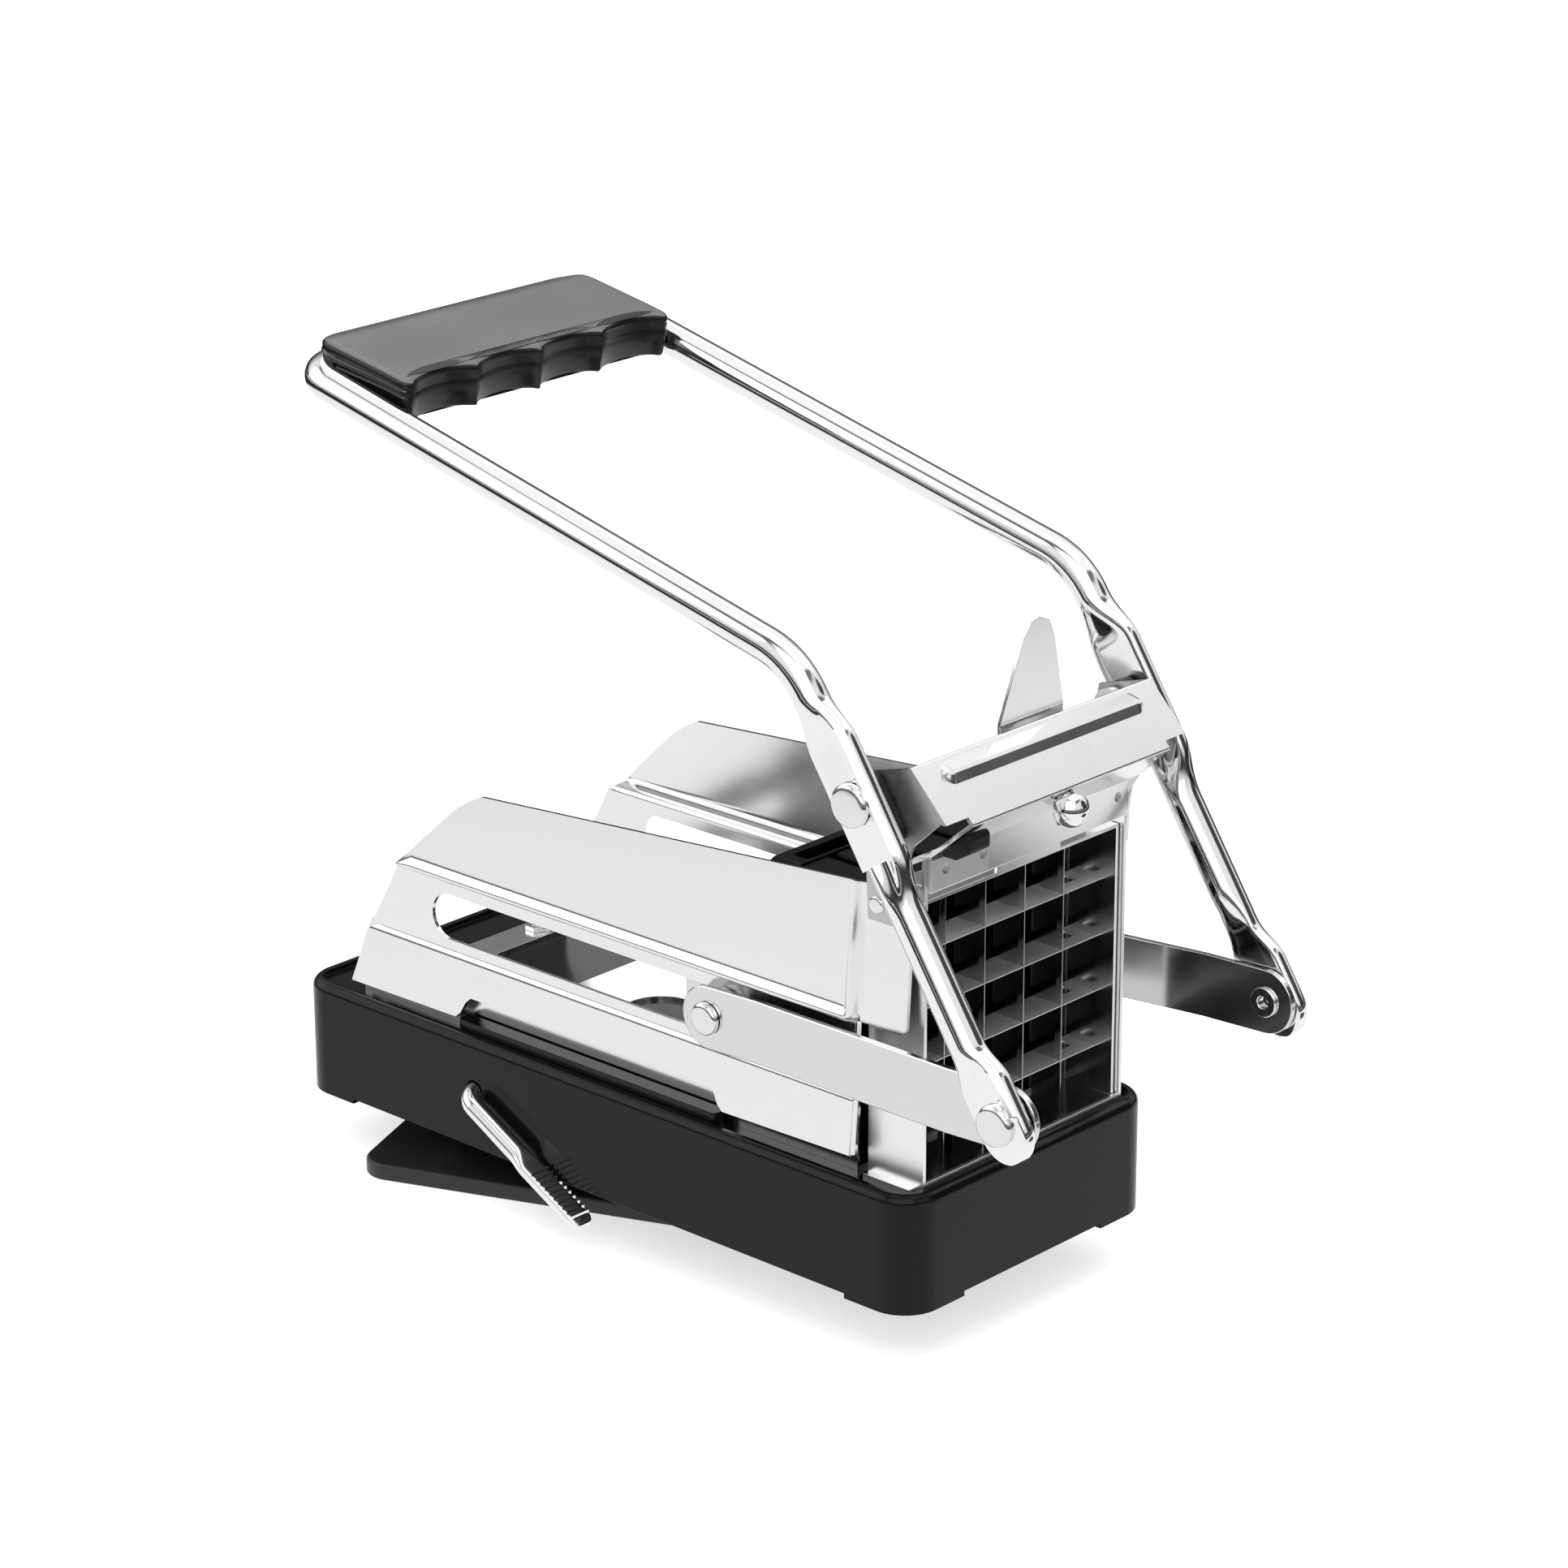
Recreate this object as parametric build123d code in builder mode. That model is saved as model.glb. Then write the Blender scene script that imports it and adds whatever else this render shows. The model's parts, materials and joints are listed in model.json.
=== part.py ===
"""Hand-lever potato chipper on a suction base. Millimetres, +Z up, +X towards the blade end."""
from build123d import *
import math
import os

os.makedirs("parts", exist_ok=True)

# ---------------------------------------------------------------- shared sizes
fit_gap = 0.4            # clearance between a moving piece and the piece that guides it
pin_play = 0.05          # radial play of a rivet in the hole it turns in
seat_gap = 0.05          # two touching sheets of the fixed body

# base moulding
base_length = 250.0
base_width = 108.0
base_height = 36.0
base_corner = 12.0
base_skin = 2.6
base_edge_round = 3.0
foot_drop = 1.5
foot_length = 24.0
screw_rear_x = 26.0 - base_length / 2
screw_front_x = base_length / 2 - 39.0
screw_y = base_width / 2 - 30.0
screw_spots = (
    (screw_rear_x, screw_y),
    (screw_rear_x, -screw_y),
    (screw_front_x, screw_y),
    (screw_front_x, -screw_y),
)
rim_width = 4.0
rim_depth = 1.6
deck_z = base_height - rim_depth
hollow_top = deck_z - 2.4

# sheet-metal body
sheet = 1.2
body_rear = 19.0 - base_length / 2
body_front = base_length / 2 - 5.4
frame_rear = body_front - 19.1
frame_half = base_width / 2 - 10.7
flange_out = frame_half + 0.5   # outer face of the floor tray's upturned sides
flange_top = 58.0
wall_mid = flange_out + sheet   # middle of the slotted panel's sheet, measured from the centre plane
crease_z = 56.0
wall_foot_mid = wall_mid + 2.2
wall_foot_rear_z = 38.0
wall_foot_front_z = 40.5
bead_z = 80.0
wall_top_front_z = 123.5
upper_low_mid = wall_mid + 2.6
upper_top_mid = wall_mid - 0.4
wall_front = frame_rear - 0.5
ear_front = body_front - 1.9
slot_z = 68.5
slot_height = 14.4
ledge_x = (body_rear + wall_front) / 2 - 2.5
slot_rear = body_rear + 34.0
slot_front = wall_front - 16.0

# cutting end
frame_top = 125.0
front_strip_top = 133.5
opening_top = 123.0
lip_top = 37.3
foot_strip_x = (frame_rear + body_front) / 2 - 0.55
cassette_half = frame_half - sheet - fit_gap
cassette_sheet = 1.0
cassette_rear = frame_rear + sheet + 0.3
cassette_front = body_front - 0.3
cassette_floor = deck_z + sheet + 0.3
cassette_top = 120.0
blade_thick = 0.6
blade_front = body_front - 6.8
blade_depth = 10.6
blade_pitch = 17.0
blade_first_z = 50.5
blade_count = 4
tongue_top = 190.0

# top bracket
bracket_half = wall_mid + 6.0
strip_half = frame_half - 1.3
bracket_top_x = body_front + 2.2
bracket_top_z = 161.0
bracket_nose_x = body_front + 16.4
bracket_nose_z = 146.4
bracket_heel_x = body_front + sheet + seat_gap + sheet / 2
bracket_heel_z = 134.0
bead_x = body_front + 8.0
bead_mid_z = 155.3
cheek_low_mid = wall_mid + 2.0
rear_lip_half = frame_half - 2.4
wall_rivet_spots = ((body_front - 12.1, 118), (body_front - 5.1, 118))
wall_rivet_radius = 1.6
strip_rivet_spots = ((-37.5, 129.7), (-22, 129.7), (12, 129.7), (37.5, 129.7))
strip_rivet_radius = 1.5
pivot_radius = 3.5
lock_x = body_front + 13.0
lock_z = 143.54
lock_axis = (0.649, 0, -0.761)
lock_radius = 2.0
knob_radius = 5.2
knob_lift = 5.0
lock_reach = 17.4       # shank behind the strip, up to the cassette's tongue

# linkage
pivot_x = body_front - 8.6
pivot_z = 151.5
foot_x = pivot_x + 51.5
foot_z = 73.5
slide_x = pivot_x - 65.0
slide_z = 68.5
arm_corner_x = pivot_x - 23.1
arm_corner_z = 186.4
grip_bar_x = pivot_x - 215.0
grip_bar_z = 231.9
leg_slope = math.degrees(math.atan2(pivot_z - foot_z, pivot_x - foot_x))
rod_mid = bracket_half + 8.5
rod_diameter = 10.0
flat_thick = 4.6
flat_mid = rod_mid + 0.2
link_thick = 2.0
link_width = 19.0
link_rear_mid = wall_mid + 4.9
link_front_mid = bracket_half + 4.9

# suction foot
axle_x = -47.0
axle_z = 20.0
axle_diameter = 6.0
crank_throw = 9.6
crank_pin_radius = 2.3
pad_drop = 16.5
pad_swivel = 22.0
hinge_height = 13.0      # stem pin above the pad's sealing edge
pad_length = 125.0
pad_width = 90.0
pad_corner = 9.0
yoke_disc_radius = 8.0
yoke_neck_radius = 5.0


# ---------------------------------------------------------------- base moulding
with BuildPart() as base:
    with BuildSketch(Plane.XY):
        RectangleRounded(base_length, base_width, base_corner)
    extrude(amount=base_height)
    fillet(base.faces().sort_by(Axis.Z)[-1].edges(), base_edge_round)
    with BuildSketch(Plane.XY):
        RectangleRounded(base_length - 2 * base_skin, base_width - 2 * base_skin, base_corner - base_skin)
    extrude(amount=hollow_top, mode=Mode.SUBTRACT)
    with BuildSketch(Plane.XY.offset(deck_z)):
        RectangleRounded(base_length - 2 * rim_width, base_width - 2 * rim_width, base_corner - 6)
    extrude(amount=rim_depth + 1, mode=Mode.SUBTRACT)
    with BuildSketch(Plane.XY):
        Rectangle(base_length - 2 * foot_length, base_width + 2)
        Rectangle(base_length + 2, base_width - 2 * foot_length)
    extrude(amount=foot_drop, mode=Mode.SUBTRACT)
    # ledges that show in the notches of the side walls
    with BuildSketch(Plane.XY.offset(deck_z - 0.5)):
        with Locations((ledge_x, wall_mid + 2), (ledge_x, -wall_mid - 2)):
            RectangleRounded(wall_front - body_rear - 100, 5.0, 2.0)
    extrude(amount=5.0)
    # screw posts
    with BuildSketch(Plane.XY.offset(20)):
        with Locations(*screw_spots):
            Circle(5.0)
    extrude(amount=hollow_top - 20 + 1)
    # bearing cheeks of the suction axle
    with BuildSketch(Plane.XZ):
        with Locations((axle_x, 22)):
            RectangleRounded(26, 22, 3)
    extrude(amount=22, both=True)
    with BuildSketch(Plane.XZ):
        with Locations((axle_x, 21)):
            Rectangle(30, 22)
    extrude(amount=18.6, both=True, mode=Mode.SUBTRACT)
    with BuildSketch(Plane.XZ):
        with Locations((axle_x, axle_z)):
            Circle(axle_diameter / 2 + 0.1)
    extrude(amount=40, both=True, mode=Mode.SUBTRACT)
    with BuildSketch(Plane.XZ.offset(30)):
        with Locations((axle_x, axle_z)):
            Circle(axle_diameter / 2 + 0.4)
    extrude(amount=40, mode=Mode.SUBTRACT)
    # screw holes up through the posts and the deck
    with BuildSketch(Plane.XY.offset(15)):
        with Locations(*screw_spots):
            Circle(2.1)
    extrude(amount=30, mode=Mode.SUBTRACT)
base.part.label = "base"
export_step(base.part, "parts/base.step")

# ---------------------------------------------------------------- floor tray
with BuildPart() as floor_tray:
    with BuildSketch(Plane.XY.offset(deck_z)):
        with Locations(((body_rear + wall_front) / 2 - 1, 0)):
            Rectangle(wall_front - body_rear - 4, 2 * flange_out)
    extrude(amount=flange_top - deck_z)
    with BuildSketch(Plane.XY.offset(deck_z + sheet)):
        with Locations((0, 0)):
            Rectangle(300, 2 * (flange_out - sheet))
    extrude(amount=60, mode=Mode.SUBTRACT)
    with BuildSketch(Plane.XY.offset(deck_z)):
        with Locations((-75, 0)):
            RectangleRounded(36, 66, 5)
        with Locations((-10, 0)):
            RectangleRounded(50, 26, 12)
    extrude(amount=sheet, mode=Mode.SUBTRACT)
    # the sides fall away towards the rear
    with BuildSketch(Plane.XZ):
        with BuildLine():
            Polyline((body_rear - 5, 37), (body_rear + 6, 61), (body_rear - 5, 61), close=True)
        make_face()
    extrude(amount=60, both=True, mode=Mode.SUBTRACT)
    with BuildSketch(Plane.XY.offset(deck_z)):
        with Locations(*screw_spots):
            Circle(2.05)
    extrude(amount=sheet, mode=Mode.SUBTRACT)
floor_tray.part.label = "floor_tray"
export_step(floor_tray.part, "parts/floor_tray.step")

# ---------------------------------------------------------------- side walls
with BuildPart() as side_wall_left:
    # cross-section of the bent sheet: flared foot, slotted panel, raised bead, upper panel
    with BuildSketch(Plane.YZ.offset(body_rear - 2)):
        with BuildLine():
            Polyline(
                (wall_foot_mid, 36),
                (wall_mid, crease_z),
                (wall_mid, bead_z),
                (upper_low_mid + 0.9, bead_z + 2.2),
                (upper_low_mid, bead_z + 4.6),
                (upper_top_mid, 128),
            )
            offset(amount=sheet / 2, side=Side.BOTH)
        make_face()
    extrude(amount=ear_front - body_rear + 16.3)
    # side outline
    with BuildSketch(Plane.XZ.offset(-60)):
        with BuildLine():
            Polyline(
                (ear_front, wall_top_front_z),
                (body_rear + 57, 110.5),
                (body_rear + 45, 103),
                (body_rear + 34, 93),
                (body_rear + 23, 82.3),
                (body_rear + 19.5, 80),
                (body_rear + 6, crease_z),
                (body_rear, wall_foot_rear_z),
                (body_rear + 45.5, wall_foot_rear_z + 0.5),
                (body_rear + 51.5, 45.6),
                (wall_front - 57, 46.6),
                (wall_front - 51, 39.6),
                (wall_front, wall_foot_front_z),
                (wall_front, bead_z + 1.6),
                (ear_front, bead_z + 1.6),
                close=True,
            )
        make_face()
    extrude(amount=80, mode=Mode.INTERSECT)
    with BuildSketch(Plane.XZ.offset(-60)):
        with Locations(((slot_rear + slot_front) / 2, slot_z)):
            SlotOverall(slot_front - slot_rear, slot_height)
    extrude(amount=80, mode=Mode.SUBTRACT)
    # rivet holes near the front edge
    with BuildSketch(Plane.XZ.offset(-60)):
        with Locations(*wall_rivet_spots):
            Circle(wall_rivet_radius)
    extrude(amount=80, mode=Mode.SUBTRACT)
side_wall_left.part.label = "side_wall_left"
export_step(side_wall_left.part, "parts/side_wall_left.step")

with BuildPart() as side_wall_right:
    add(mirror(side_wall_left.part, about=Plane.XZ))
side_wall_right.part.label = "side_wall_right"
export_step(side_wall_right.part, "parts/side_wall_right.step")

# ---------------------------------------------------------------- front frame
with BuildPart() as front_frame:
    with BuildSketch(Plane.XY.offset(deck_z)):
        with Locations(((frame_rear + body_front + sheet) / 2, 0)):
            Rectangle(body_front + sheet - frame_rear, 2 * frame_half)
    extrude(amount=front_strip_top - deck_z)
    with BuildSketch(Plane.XY.offset(deck_z + sheet)):
        with Locations(((frame_rear + sheet + body_front) / 2, 0)):
            Rectangle(body_front - frame_rear - sheet, 2 * (frame_half - sheet))
    extrude(amount=120, mode=Mode.SUBTRACT)
    # window in the front strip
    with BuildSketch(Plane.YZ.offset(body_front - 1)):
        with Locations((0, (lip_top + opening_top) / 2)):
            Rectangle(2 * (frame_half - sheet), opening_top - lip_top)
    extrude(amount=10, mode=Mode.SUBTRACT)
    # open the back between the rear lips
    with BuildSketch(Plane.YZ.offset(frame_rear - 1)):
        with Locations((0, (deck_z + sheet + 200) / 2)):
            Rectangle(2 * rear_lip_half, 200 - deck_z - sheet)
    extrude(amount=sheet + 2, mode=Mode.SUBTRACT)
    # only the front strip stands above the sides
    with BuildSketch(Plane.XZ.offset(-60)):
        with Locations((frame_rear + (body_front - frame_rear) / 2 - 1, frame_top + 10)):
            Rectangle(body_front - frame_rear + 2, 20)
    extrude(amount=120, mode=Mode.SUBTRACT)
    # flared feet
    with BuildSketch(Plane.XY.offset(deck_z)):
        with Locations((foot_strip_x, frame_half + 1.2), (foot_strip_x, -frame_half - 1.2)):
            Rectangle(body_front - frame_rear - 2.1, 3.0)
    extrude(amount=sheet)
    with BuildSketch(Plane.XZ.offset(-60)):
        with Locations(*wall_rivet_spots):
            Circle(wall_rivet_radius)
    extrude(amount=120, mode=Mode.SUBTRACT)
    with BuildSketch(Plane.YZ.offset(body_front - 1)):
        with Locations(*strip_rivet_spots):
            Circle(strip_rivet_radius)
    extrude(amount=10, mode=Mode.SUBTRACT)
front_frame.part.label = "front_frame"
export_step(front_frame.part, "parts/front_frame.step")

# ---------------------------------------------------------------- top bracket
with BuildPart() as bracket_cheek:
    # cheek sheet seen end-on: out at the plate, joggled in to lie on the wall
    with BuildSketch(Plane.YZ.offset(90)):
        with BuildLine():
            Polyline((bracket_half - sheet / 2, 170), (bracket_half - sheet / 2, 136),
                     (cheek_low_mid, 128), (cheek_low_mid, 105))
            offset(amount=sheet / 2, side=Side.BOTH)
        make_face()
    extrude(amount=60)
    with BuildSketch(Plane.XZ.offset(-80)):
        with BuildLine():
            Polyline(
                (bracket_top_x, bracket_top_z + 0.3),
                (body_front + 13.8, 148.9),
                (body_front + 3.4, 139.5),
                (body_front - 0.6, 130),
                (body_front - 1.6, 113),
                (body_front - 15.6, 113),
                (body_front - 17.1, 146),
                (body_front - 15.1, 156.5),
                close=True,
            )
        make_face()
    extrude(amount=80, mode=Mode.INTERSECT)
    with BuildSketch(Plane.XZ.offset(-80)):
        with Locations((pivot_x, pivot_z)):
            Circle(pivot_radius)
        with Locations(*wall_rivet_spots):
            Circle(wall_rivet_radius)
    extrude(amount=80, mode=Mode.SUBTRACT)

with BuildPart() as top_bracket:
    with BuildSketch(Plane.XZ.offset(-bracket_half)):
        with BuildLine():
            Polyline((bracket_top_x, bracket_top_z), (bracket_nose_x, bracket_nose_z),
                     (bracket_heel_x, bracket_heel_z), (bracket_heel_x, opening_top + 0.6))
            offset(amount=sheet / 2, side=Side.BOTH)
        make_face()
    extrude(amount=2 * bracket_half)
    # the nose and the strip under it are narrower than the plate
    with BuildSketch(Plane.XZ.offset(-80), Plane.XZ.offset(strip_half)):
        with BuildLine():
            Polyline(
                (body_front + 22.4, 150.2),
                (body_front + 13.6, 148.0),
                (body_front + 11.9, 146.2),
                (body_front - 9.6, 120),
                (body_front + 22.4, 100),
                close=True,
            )
        make_face()
    extrude(amount=80 - strip_half, mode=Mode.SUBTRACT)
    # stiffening bead along the plate
    with BuildSketch(Plane(origin=(bead_x, 0, bead_mid_z), x_dir=(0, 1, 0), z_dir=(0.712, 0, 0.702))):
        SlotOverall(84, 6.4)
    extrude(amount=2.3, taper=30)
    add(bracket_cheek.part)
    add(mirror(bracket_cheek.part, about=Plane.XZ))
    # holes for the lock screw and the strip rivets
    with BuildSketch(Plane(origin=(lock_x, 0, lock_z), x_dir=(0, 1, 0), z_dir=lock_axis)):
        Circle(lock_radius + 0.1)
    extrude(amount=4, both=True, mode=Mode.SUBTRACT)
    with BuildSketch(Plane.YZ.offset(body_front - 1)):
        with Locations(*strip_rivet_spots):
            Circle(strip_rivet_radius)
    extrude(amount=4, mode=Mode.SUBTRACT)
top_bracket.part.label = "top_bracket"
export_step(top_bracket.part, "parts/top_bracket.step")

with BuildPart() as corner_lug:
    with BuildSketch(Plane.YZ.offset(bracket_heel_x + sheet / 2)):
        with Locations((-31.5, 128.8)):
            Rectangle(23.5, 9.2)
        with Locations((-37.5, 129.7), (-22, 129.7)):
            Circle(strip_rivet_radius, mode=Mode.SUBTRACT)
    extrude(amount=sheet)
corner_lug.part.label = "corner_lug"
export_step(corner_lug.part, "parts/corner_lug.step")

with BuildPart() as bracket_block:
    with BuildSketch(Plane.XZ.offset(20.5)):
        with BuildLine():
            Polyline(
                (body_front + 4.0, 134.7),
                (body_front + 10.4, 134.7),
                (body_front + 15.8, 138.0),
                (body_front + 15.8, 144.8),
                close=True,
            )
        make_face()
    extrude(amount=21.2)
    fillet(bracket_block.edges().filter_by(Axis.Y).sort_by(Axis.X)[-1:], 0.4)
bracket_block.part.label = "bracket_block"
export_step(bracket_block.part, "parts/bracket_block.step")

# ---------------------------------------------------------------- fixed fasteners
with BuildPart() as pivot_rivets:
    with BuildSketch(Plane.XZ.offset(-(bracket_half - sheet - 2.2))):
        with Locations((pivot_x, pivot_z)):
            Circle(5.6)
    extrude(amount=-2.2)
    with BuildSketch(Plane.XZ.offset(-(bracket_half - sheet - 0.1))):
        with Locations((pivot_x, pivot_z)):
            Circle(pivot_radius)
    extrude(amount=-(flat_mid + flat_thick / 2 + 0.35 - bracket_half + sheet + 0.1))
    with BuildSketch(Plane.XZ.offset(-(flat_mid + flat_thick / 2 + 0.3))):
        with Locations((pivot_x, pivot_z)):
            Circle(7.1)
    extrude(amount=-2.2)
    fillet(pivot_rivets.edges().filter_by(GeomType.CIRCLE).sort_by(Axis.Y)[-1:], 1.5)
    mirror(about=Plane.XZ)
pivot_rivets.part.label = "pivot_rivets"
export_step(pivot_rivets.part, "parts/pivot_rivets.step")

with BuildPart() as pivot_spacers:
    with BuildSketch(Plane.XZ.offset(-(bracket_half + 0.02))):
        with Locations(Location((pivot_x, pivot_z), leg_slope)):
            RectangleRounded(28, 17, 4)
        with Locations((pivot_x, pivot_z)):
            Circle(pivot_radius, mode=Mode.SUBTRACT)
    extrude(amount=-(flat_mid - flat_thick / 2 - bracket_half - fit_gap - 0.1))
    mirror(about=Plane.XZ)
pivot_spacers.part.label = "pivot_spacers"
export_step(pivot_spacers.part, "parts/pivot_spacers.step")

with BuildPart() as wall_rivets:
    with BuildSketch(Plane.XZ.offset(-(frame_half - sheet - 0.25))):
        with Locations(*wall_rivet_spots):
            Circle(wall_rivet_radius)
    extrude(amount=-(cheek_low_mid + sheet / 2 - frame_half + sheet + 0.3))
    with BuildSketch(Plane.XZ.offset(-(cheek_low_mid + sheet / 2))):
        with Locations(*wall_rivet_spots):
            Circle(2.8)
    extrude(amount=-1.2, taper=25)
    mirror(about=Plane.XZ)
wall_rivets.part.label = "wall_rivets"
export_step(wall_rivets.part, "parts/wall_rivets.step")

with BuildPart() as strip_rivets:
    with BuildSketch(Plane.YZ.offset(body_front)):
        with Locations(*strip_rivet_spots):
            Circle(strip_rivet_radius)
    extrude(amount=bracket_heel_x + 1.5 * sheet + 0.2 - body_front)
    with BuildSketch(Plane.YZ.offset(bracket_heel_x + 1.5 * sheet)):
        with Locations(*strip_rivet_spots[:2]):
            Circle(2.5)
    extrude(amount=1.1, taper=25)
    with BuildSketch(Plane.YZ.offset(bracket_heel_x + 0.5 * sheet)):
        with Locations(*strip_rivet_spots[2:]):
            Circle(2.5)
    extrude(amount=1.1, taper=25)
    with BuildSketch(Plane.YZ.offset(bracket_heel_x + 0.5 * sheet + 1.1)):
        with Locations(*strip_rivet_spots[2:]):
            Circle(4)
    extrude(amount=5, mode=Mode.SUBTRACT)
strip_rivets.part.label = "strip_rivets"
export_step(strip_rivets.part, "parts/strip_rivets.step")

with BuildPart() as base_screws:
    with BuildSketch(Plane.XY.offset(17.8)):
        with Locations(*screw_spots):
            Circle(4.0)
            RectangleRounded(4.6, 1.2, 0.3, mode=Mode.SUBTRACT)
    extrude(amount=2.2)
    with BuildSketch(Plane.XY.offset(18.9)):
        with Locations(*screw_spots):
            Circle(2.0)
    extrude(amount=18.4)
base_screws.part.label = "base_screws"
export_step(base_screws.part, "parts/base_screws.step")

with BuildPart() as base_nuts:
    with BuildSketch(Plane.XY.offset(deck_z + sheet + 0.02)):
        with Locations(*screw_spots):
            RegularPolygon(4.0, 6)
            Circle(2.05, mode=Mode.SUBTRACT)
    extrude(amount=1.5)
base_nuts.part.label = "base_nuts"
export_step(base_nuts.part, "parts/base_nuts.step")

# ---------------------------------------------------------------- lock screw
with BuildPart() as lock_screw:
    with BuildSketch(Plane(origin=(lock_x, 0, lock_z), x_dir=(0, 1, 0), z_dir=lock_axis)):
        Circle(lock_radius)
    extrude(amount=4.0)
    extrude(lock_screw.faces().sort_by(Axis.Z)[-1], amount=lock_reach)
    with Locations((lock_x + knob_lift * lock_axis[0], 0, lock_z + knob_lift * lock_axis[2])):
        Sphere(knob_radius)
    knob_seat = Plane(origin=(lock_x, 0, lock_z), x_dir=(0, 1, 0), z_dir=lock_axis)
    with BuildSketch(knob_seat.offset(sheet / 2 + 0.05)):
        Circle(2 * knob_radius)
        Circle(lock_radius, mode=Mode.SUBTRACT)
    extrude(amount=-6, mode=Mode.SUBTRACT)
lock_screw.part.label = "lock_screw"
export_step(lock_screw.part, "parts/lock_screw.step")

# ---------------------------------------------------------------- blade cassette
with BuildPart() as cassette_frame:
    with BuildSketch(Plane.YZ.offset(cassette_rear)):
        with Locations((0, (cassette_floor + cassette_top) / 2)):
            Rectangle(2 * cassette_half, cassette_top - cassette_floor)
            Rectangle(
                2 * (cassette_half - cassette_sheet),
                cassette_top - cassette_floor - 2 * cassette_sheet,
                mode=Mode.SUBTRACT,
            )
    extrude(amount=cassette_front - cassette_rear)
    # pull tongue
    with BuildSketch(Plane.YZ.offset(cassette_front - cassette_sheet)):
        with BuildLine():
            Polyline(
                (-11.5, cassette_top - cassette_sheet),
                (-11.0, 163.0),
                (-1.4, tongue_top - 4.6),
                (1.6, tongue_top - 0.8),
                (5.6, tongue_top),
                (9.6, tongue_top - 1.8),
                (11.8, tongue_top - 6.4),
                (16.0, 163.0),
                (16.0, cassette_top - cassette_sheet),
                close=True,
            )
        make_face()
    extrude(amount=cassette_sheet)
cassette_frame.part.label = "cassette_frame"
export_step(cassette_frame.part, "parts/cassette_frame.step")

blade_rear = blade_front - blade_depth
blade_tips = 1.6
cassette_mid_z = (cassette_floor + cassette_top) / 2
with BuildPart() as vertical_blades:
    for index in range(blade_count):
        blade_y = (index - (blade_count - 1) / 2) * blade_pitch
        with BuildSketch(Plane.XY.offset(cassette_floor + cassette_sheet)):
            with BuildLine():
                Polyline((blade_rear, blade_y), (blade_rear + blade_tips, blade_y + blade_thick / 2),
                         (blade_front, blade_y + blade_thick / 2), (blade_front, blade_y - blade_thick / 2),
                         (blade_rear + blade_tips, blade_y - blade_thick / 2), close=True)
            make_face()
        extrude(amount=cassette_top - cassette_floor - 2 * cassette_sheet)
    # half-lap slots open to the rear
    with BuildSketch(Plane.XZ.offset(-60)):
        for index in range(blade_count):
            with Locations((blade_rear + blade_depth / 4 - 1, blade_first_z + index * blade_pitch)):
                Rectangle(blade_depth / 2 + 2, blade_thick + 0.04)
    extrude(amount=120, mode=Mode.SUBTRACT)
vertical_blades.part.label = "vertical_blades"
export_step(vertical_blades.part, "parts/vertical_blades.step")

with BuildPart() as horizontal_blades:
    for index in range(blade_count):
        blade_z = blade_first_z + index * blade_pitch
        with BuildSketch(Plane.XZ.offset(-(cassette_half - cassette_sheet))):
            with BuildLine():
                Polyline((blade_rear, blade_z), (blade_rear + blade_tips, blade_z + blade_thick / 2),
                         (blade_front, blade_z + blade_thick / 2), (blade_front, blade_z - blade_thick / 2),
                         (blade_rear + blade_tips, blade_z - blade_thick / 2), close=True)
            make_face()
        extrude(amount=2 * (cassette_half - cassette_sheet))
    # half-lap slots open to the front
    with BuildSketch(Plane.XY.offset(30)):
        for index in range(blade_count):
            blade_y = (index - (blade_count - 1) / 2) * blade_pitch
            with Locations((blade_front - blade_depth / 4 + 0.99, blade_y)):
                Rectangle(blade_depth / 2 + 2, blade_thick + 0.04)
    extrude(amount=120, mode=Mode.SUBTRACT)
horizontal_blades.part.label = "horizontal_blades"
export_step(horizontal_blades.part, "parts/horizontal_blades.step")

# ---------------------------------------------------------------- pusher
pusher_rear = slide_x + 13.5
pusher_plate = 11.0
pin_front = frame_rear - 0.5
slide_plate_out = wall_mid - 2.7
pusher_half = slide_plate_out - 1.5
pusher_low = 37.9
pusher_high = 117.6
pin_side = 13.6
row_heights = (43.6, 59.0, 76.0, 93.0, 110.2)
outer_column = pusher_half - pin_side / 2 - 0.4
skid_y = pusher_half - 2.8
recess_y = pusher_half - 17.8
column_offsets = (-outer_column, -blade_pitch, 0.0, blade_pitch, outer_column)
with BuildPart() as pusher_block:
    with BuildSketch(Plane.YZ.offset(pusher_rear)):
        with Locations((0, (pusher_low + pusher_high) / 2)):
            RectangleRounded(2 * pusher_half, pusher_high - pusher_low, 4)
    extrude(amount=pusher_plate)
    fillet(pusher_block.faces().sort_by(Axis.X)[0].edges(), 1.2)
    with BuildSketch(Plane.YZ.offset(pusher_rear + pusher_plate)):
        for height in row_heights:
            for offset_y in column_offsets:
                with Locations((offset_y, height)):
                    RectangleRounded(pin_side, 11.4 if height < 50 else pin_side, 1.2)
    extrude(amount=pin_front - pusher_rear - pusher_plate)
    # skids on the tray
    with BuildSketch(Plane.XY.offset(deck_z + sheet + 0.3)):
        with Locations((pusher_rear + 5.5, skid_y), (pusher_rear + 5.5, -skid_y)):
            Rectangle(10, 4)
    extrude(amount=4)
    # recess on the top of the block
    with BuildSketch(Plane.XY.offset(pusher_high)):
        with Locations((pusher_rear + 7, -recess_y), (pusher_rear + 7, recess_y)):
            RectangleRounded(6.0, 22, 1.5)
    extrude(amount=-5.0, mode=Mode.SUBTRACT)
pusher_block.part.label = "pusher_block"
export_step(pusher_block.part, "parts/pusher_block.step")

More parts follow.
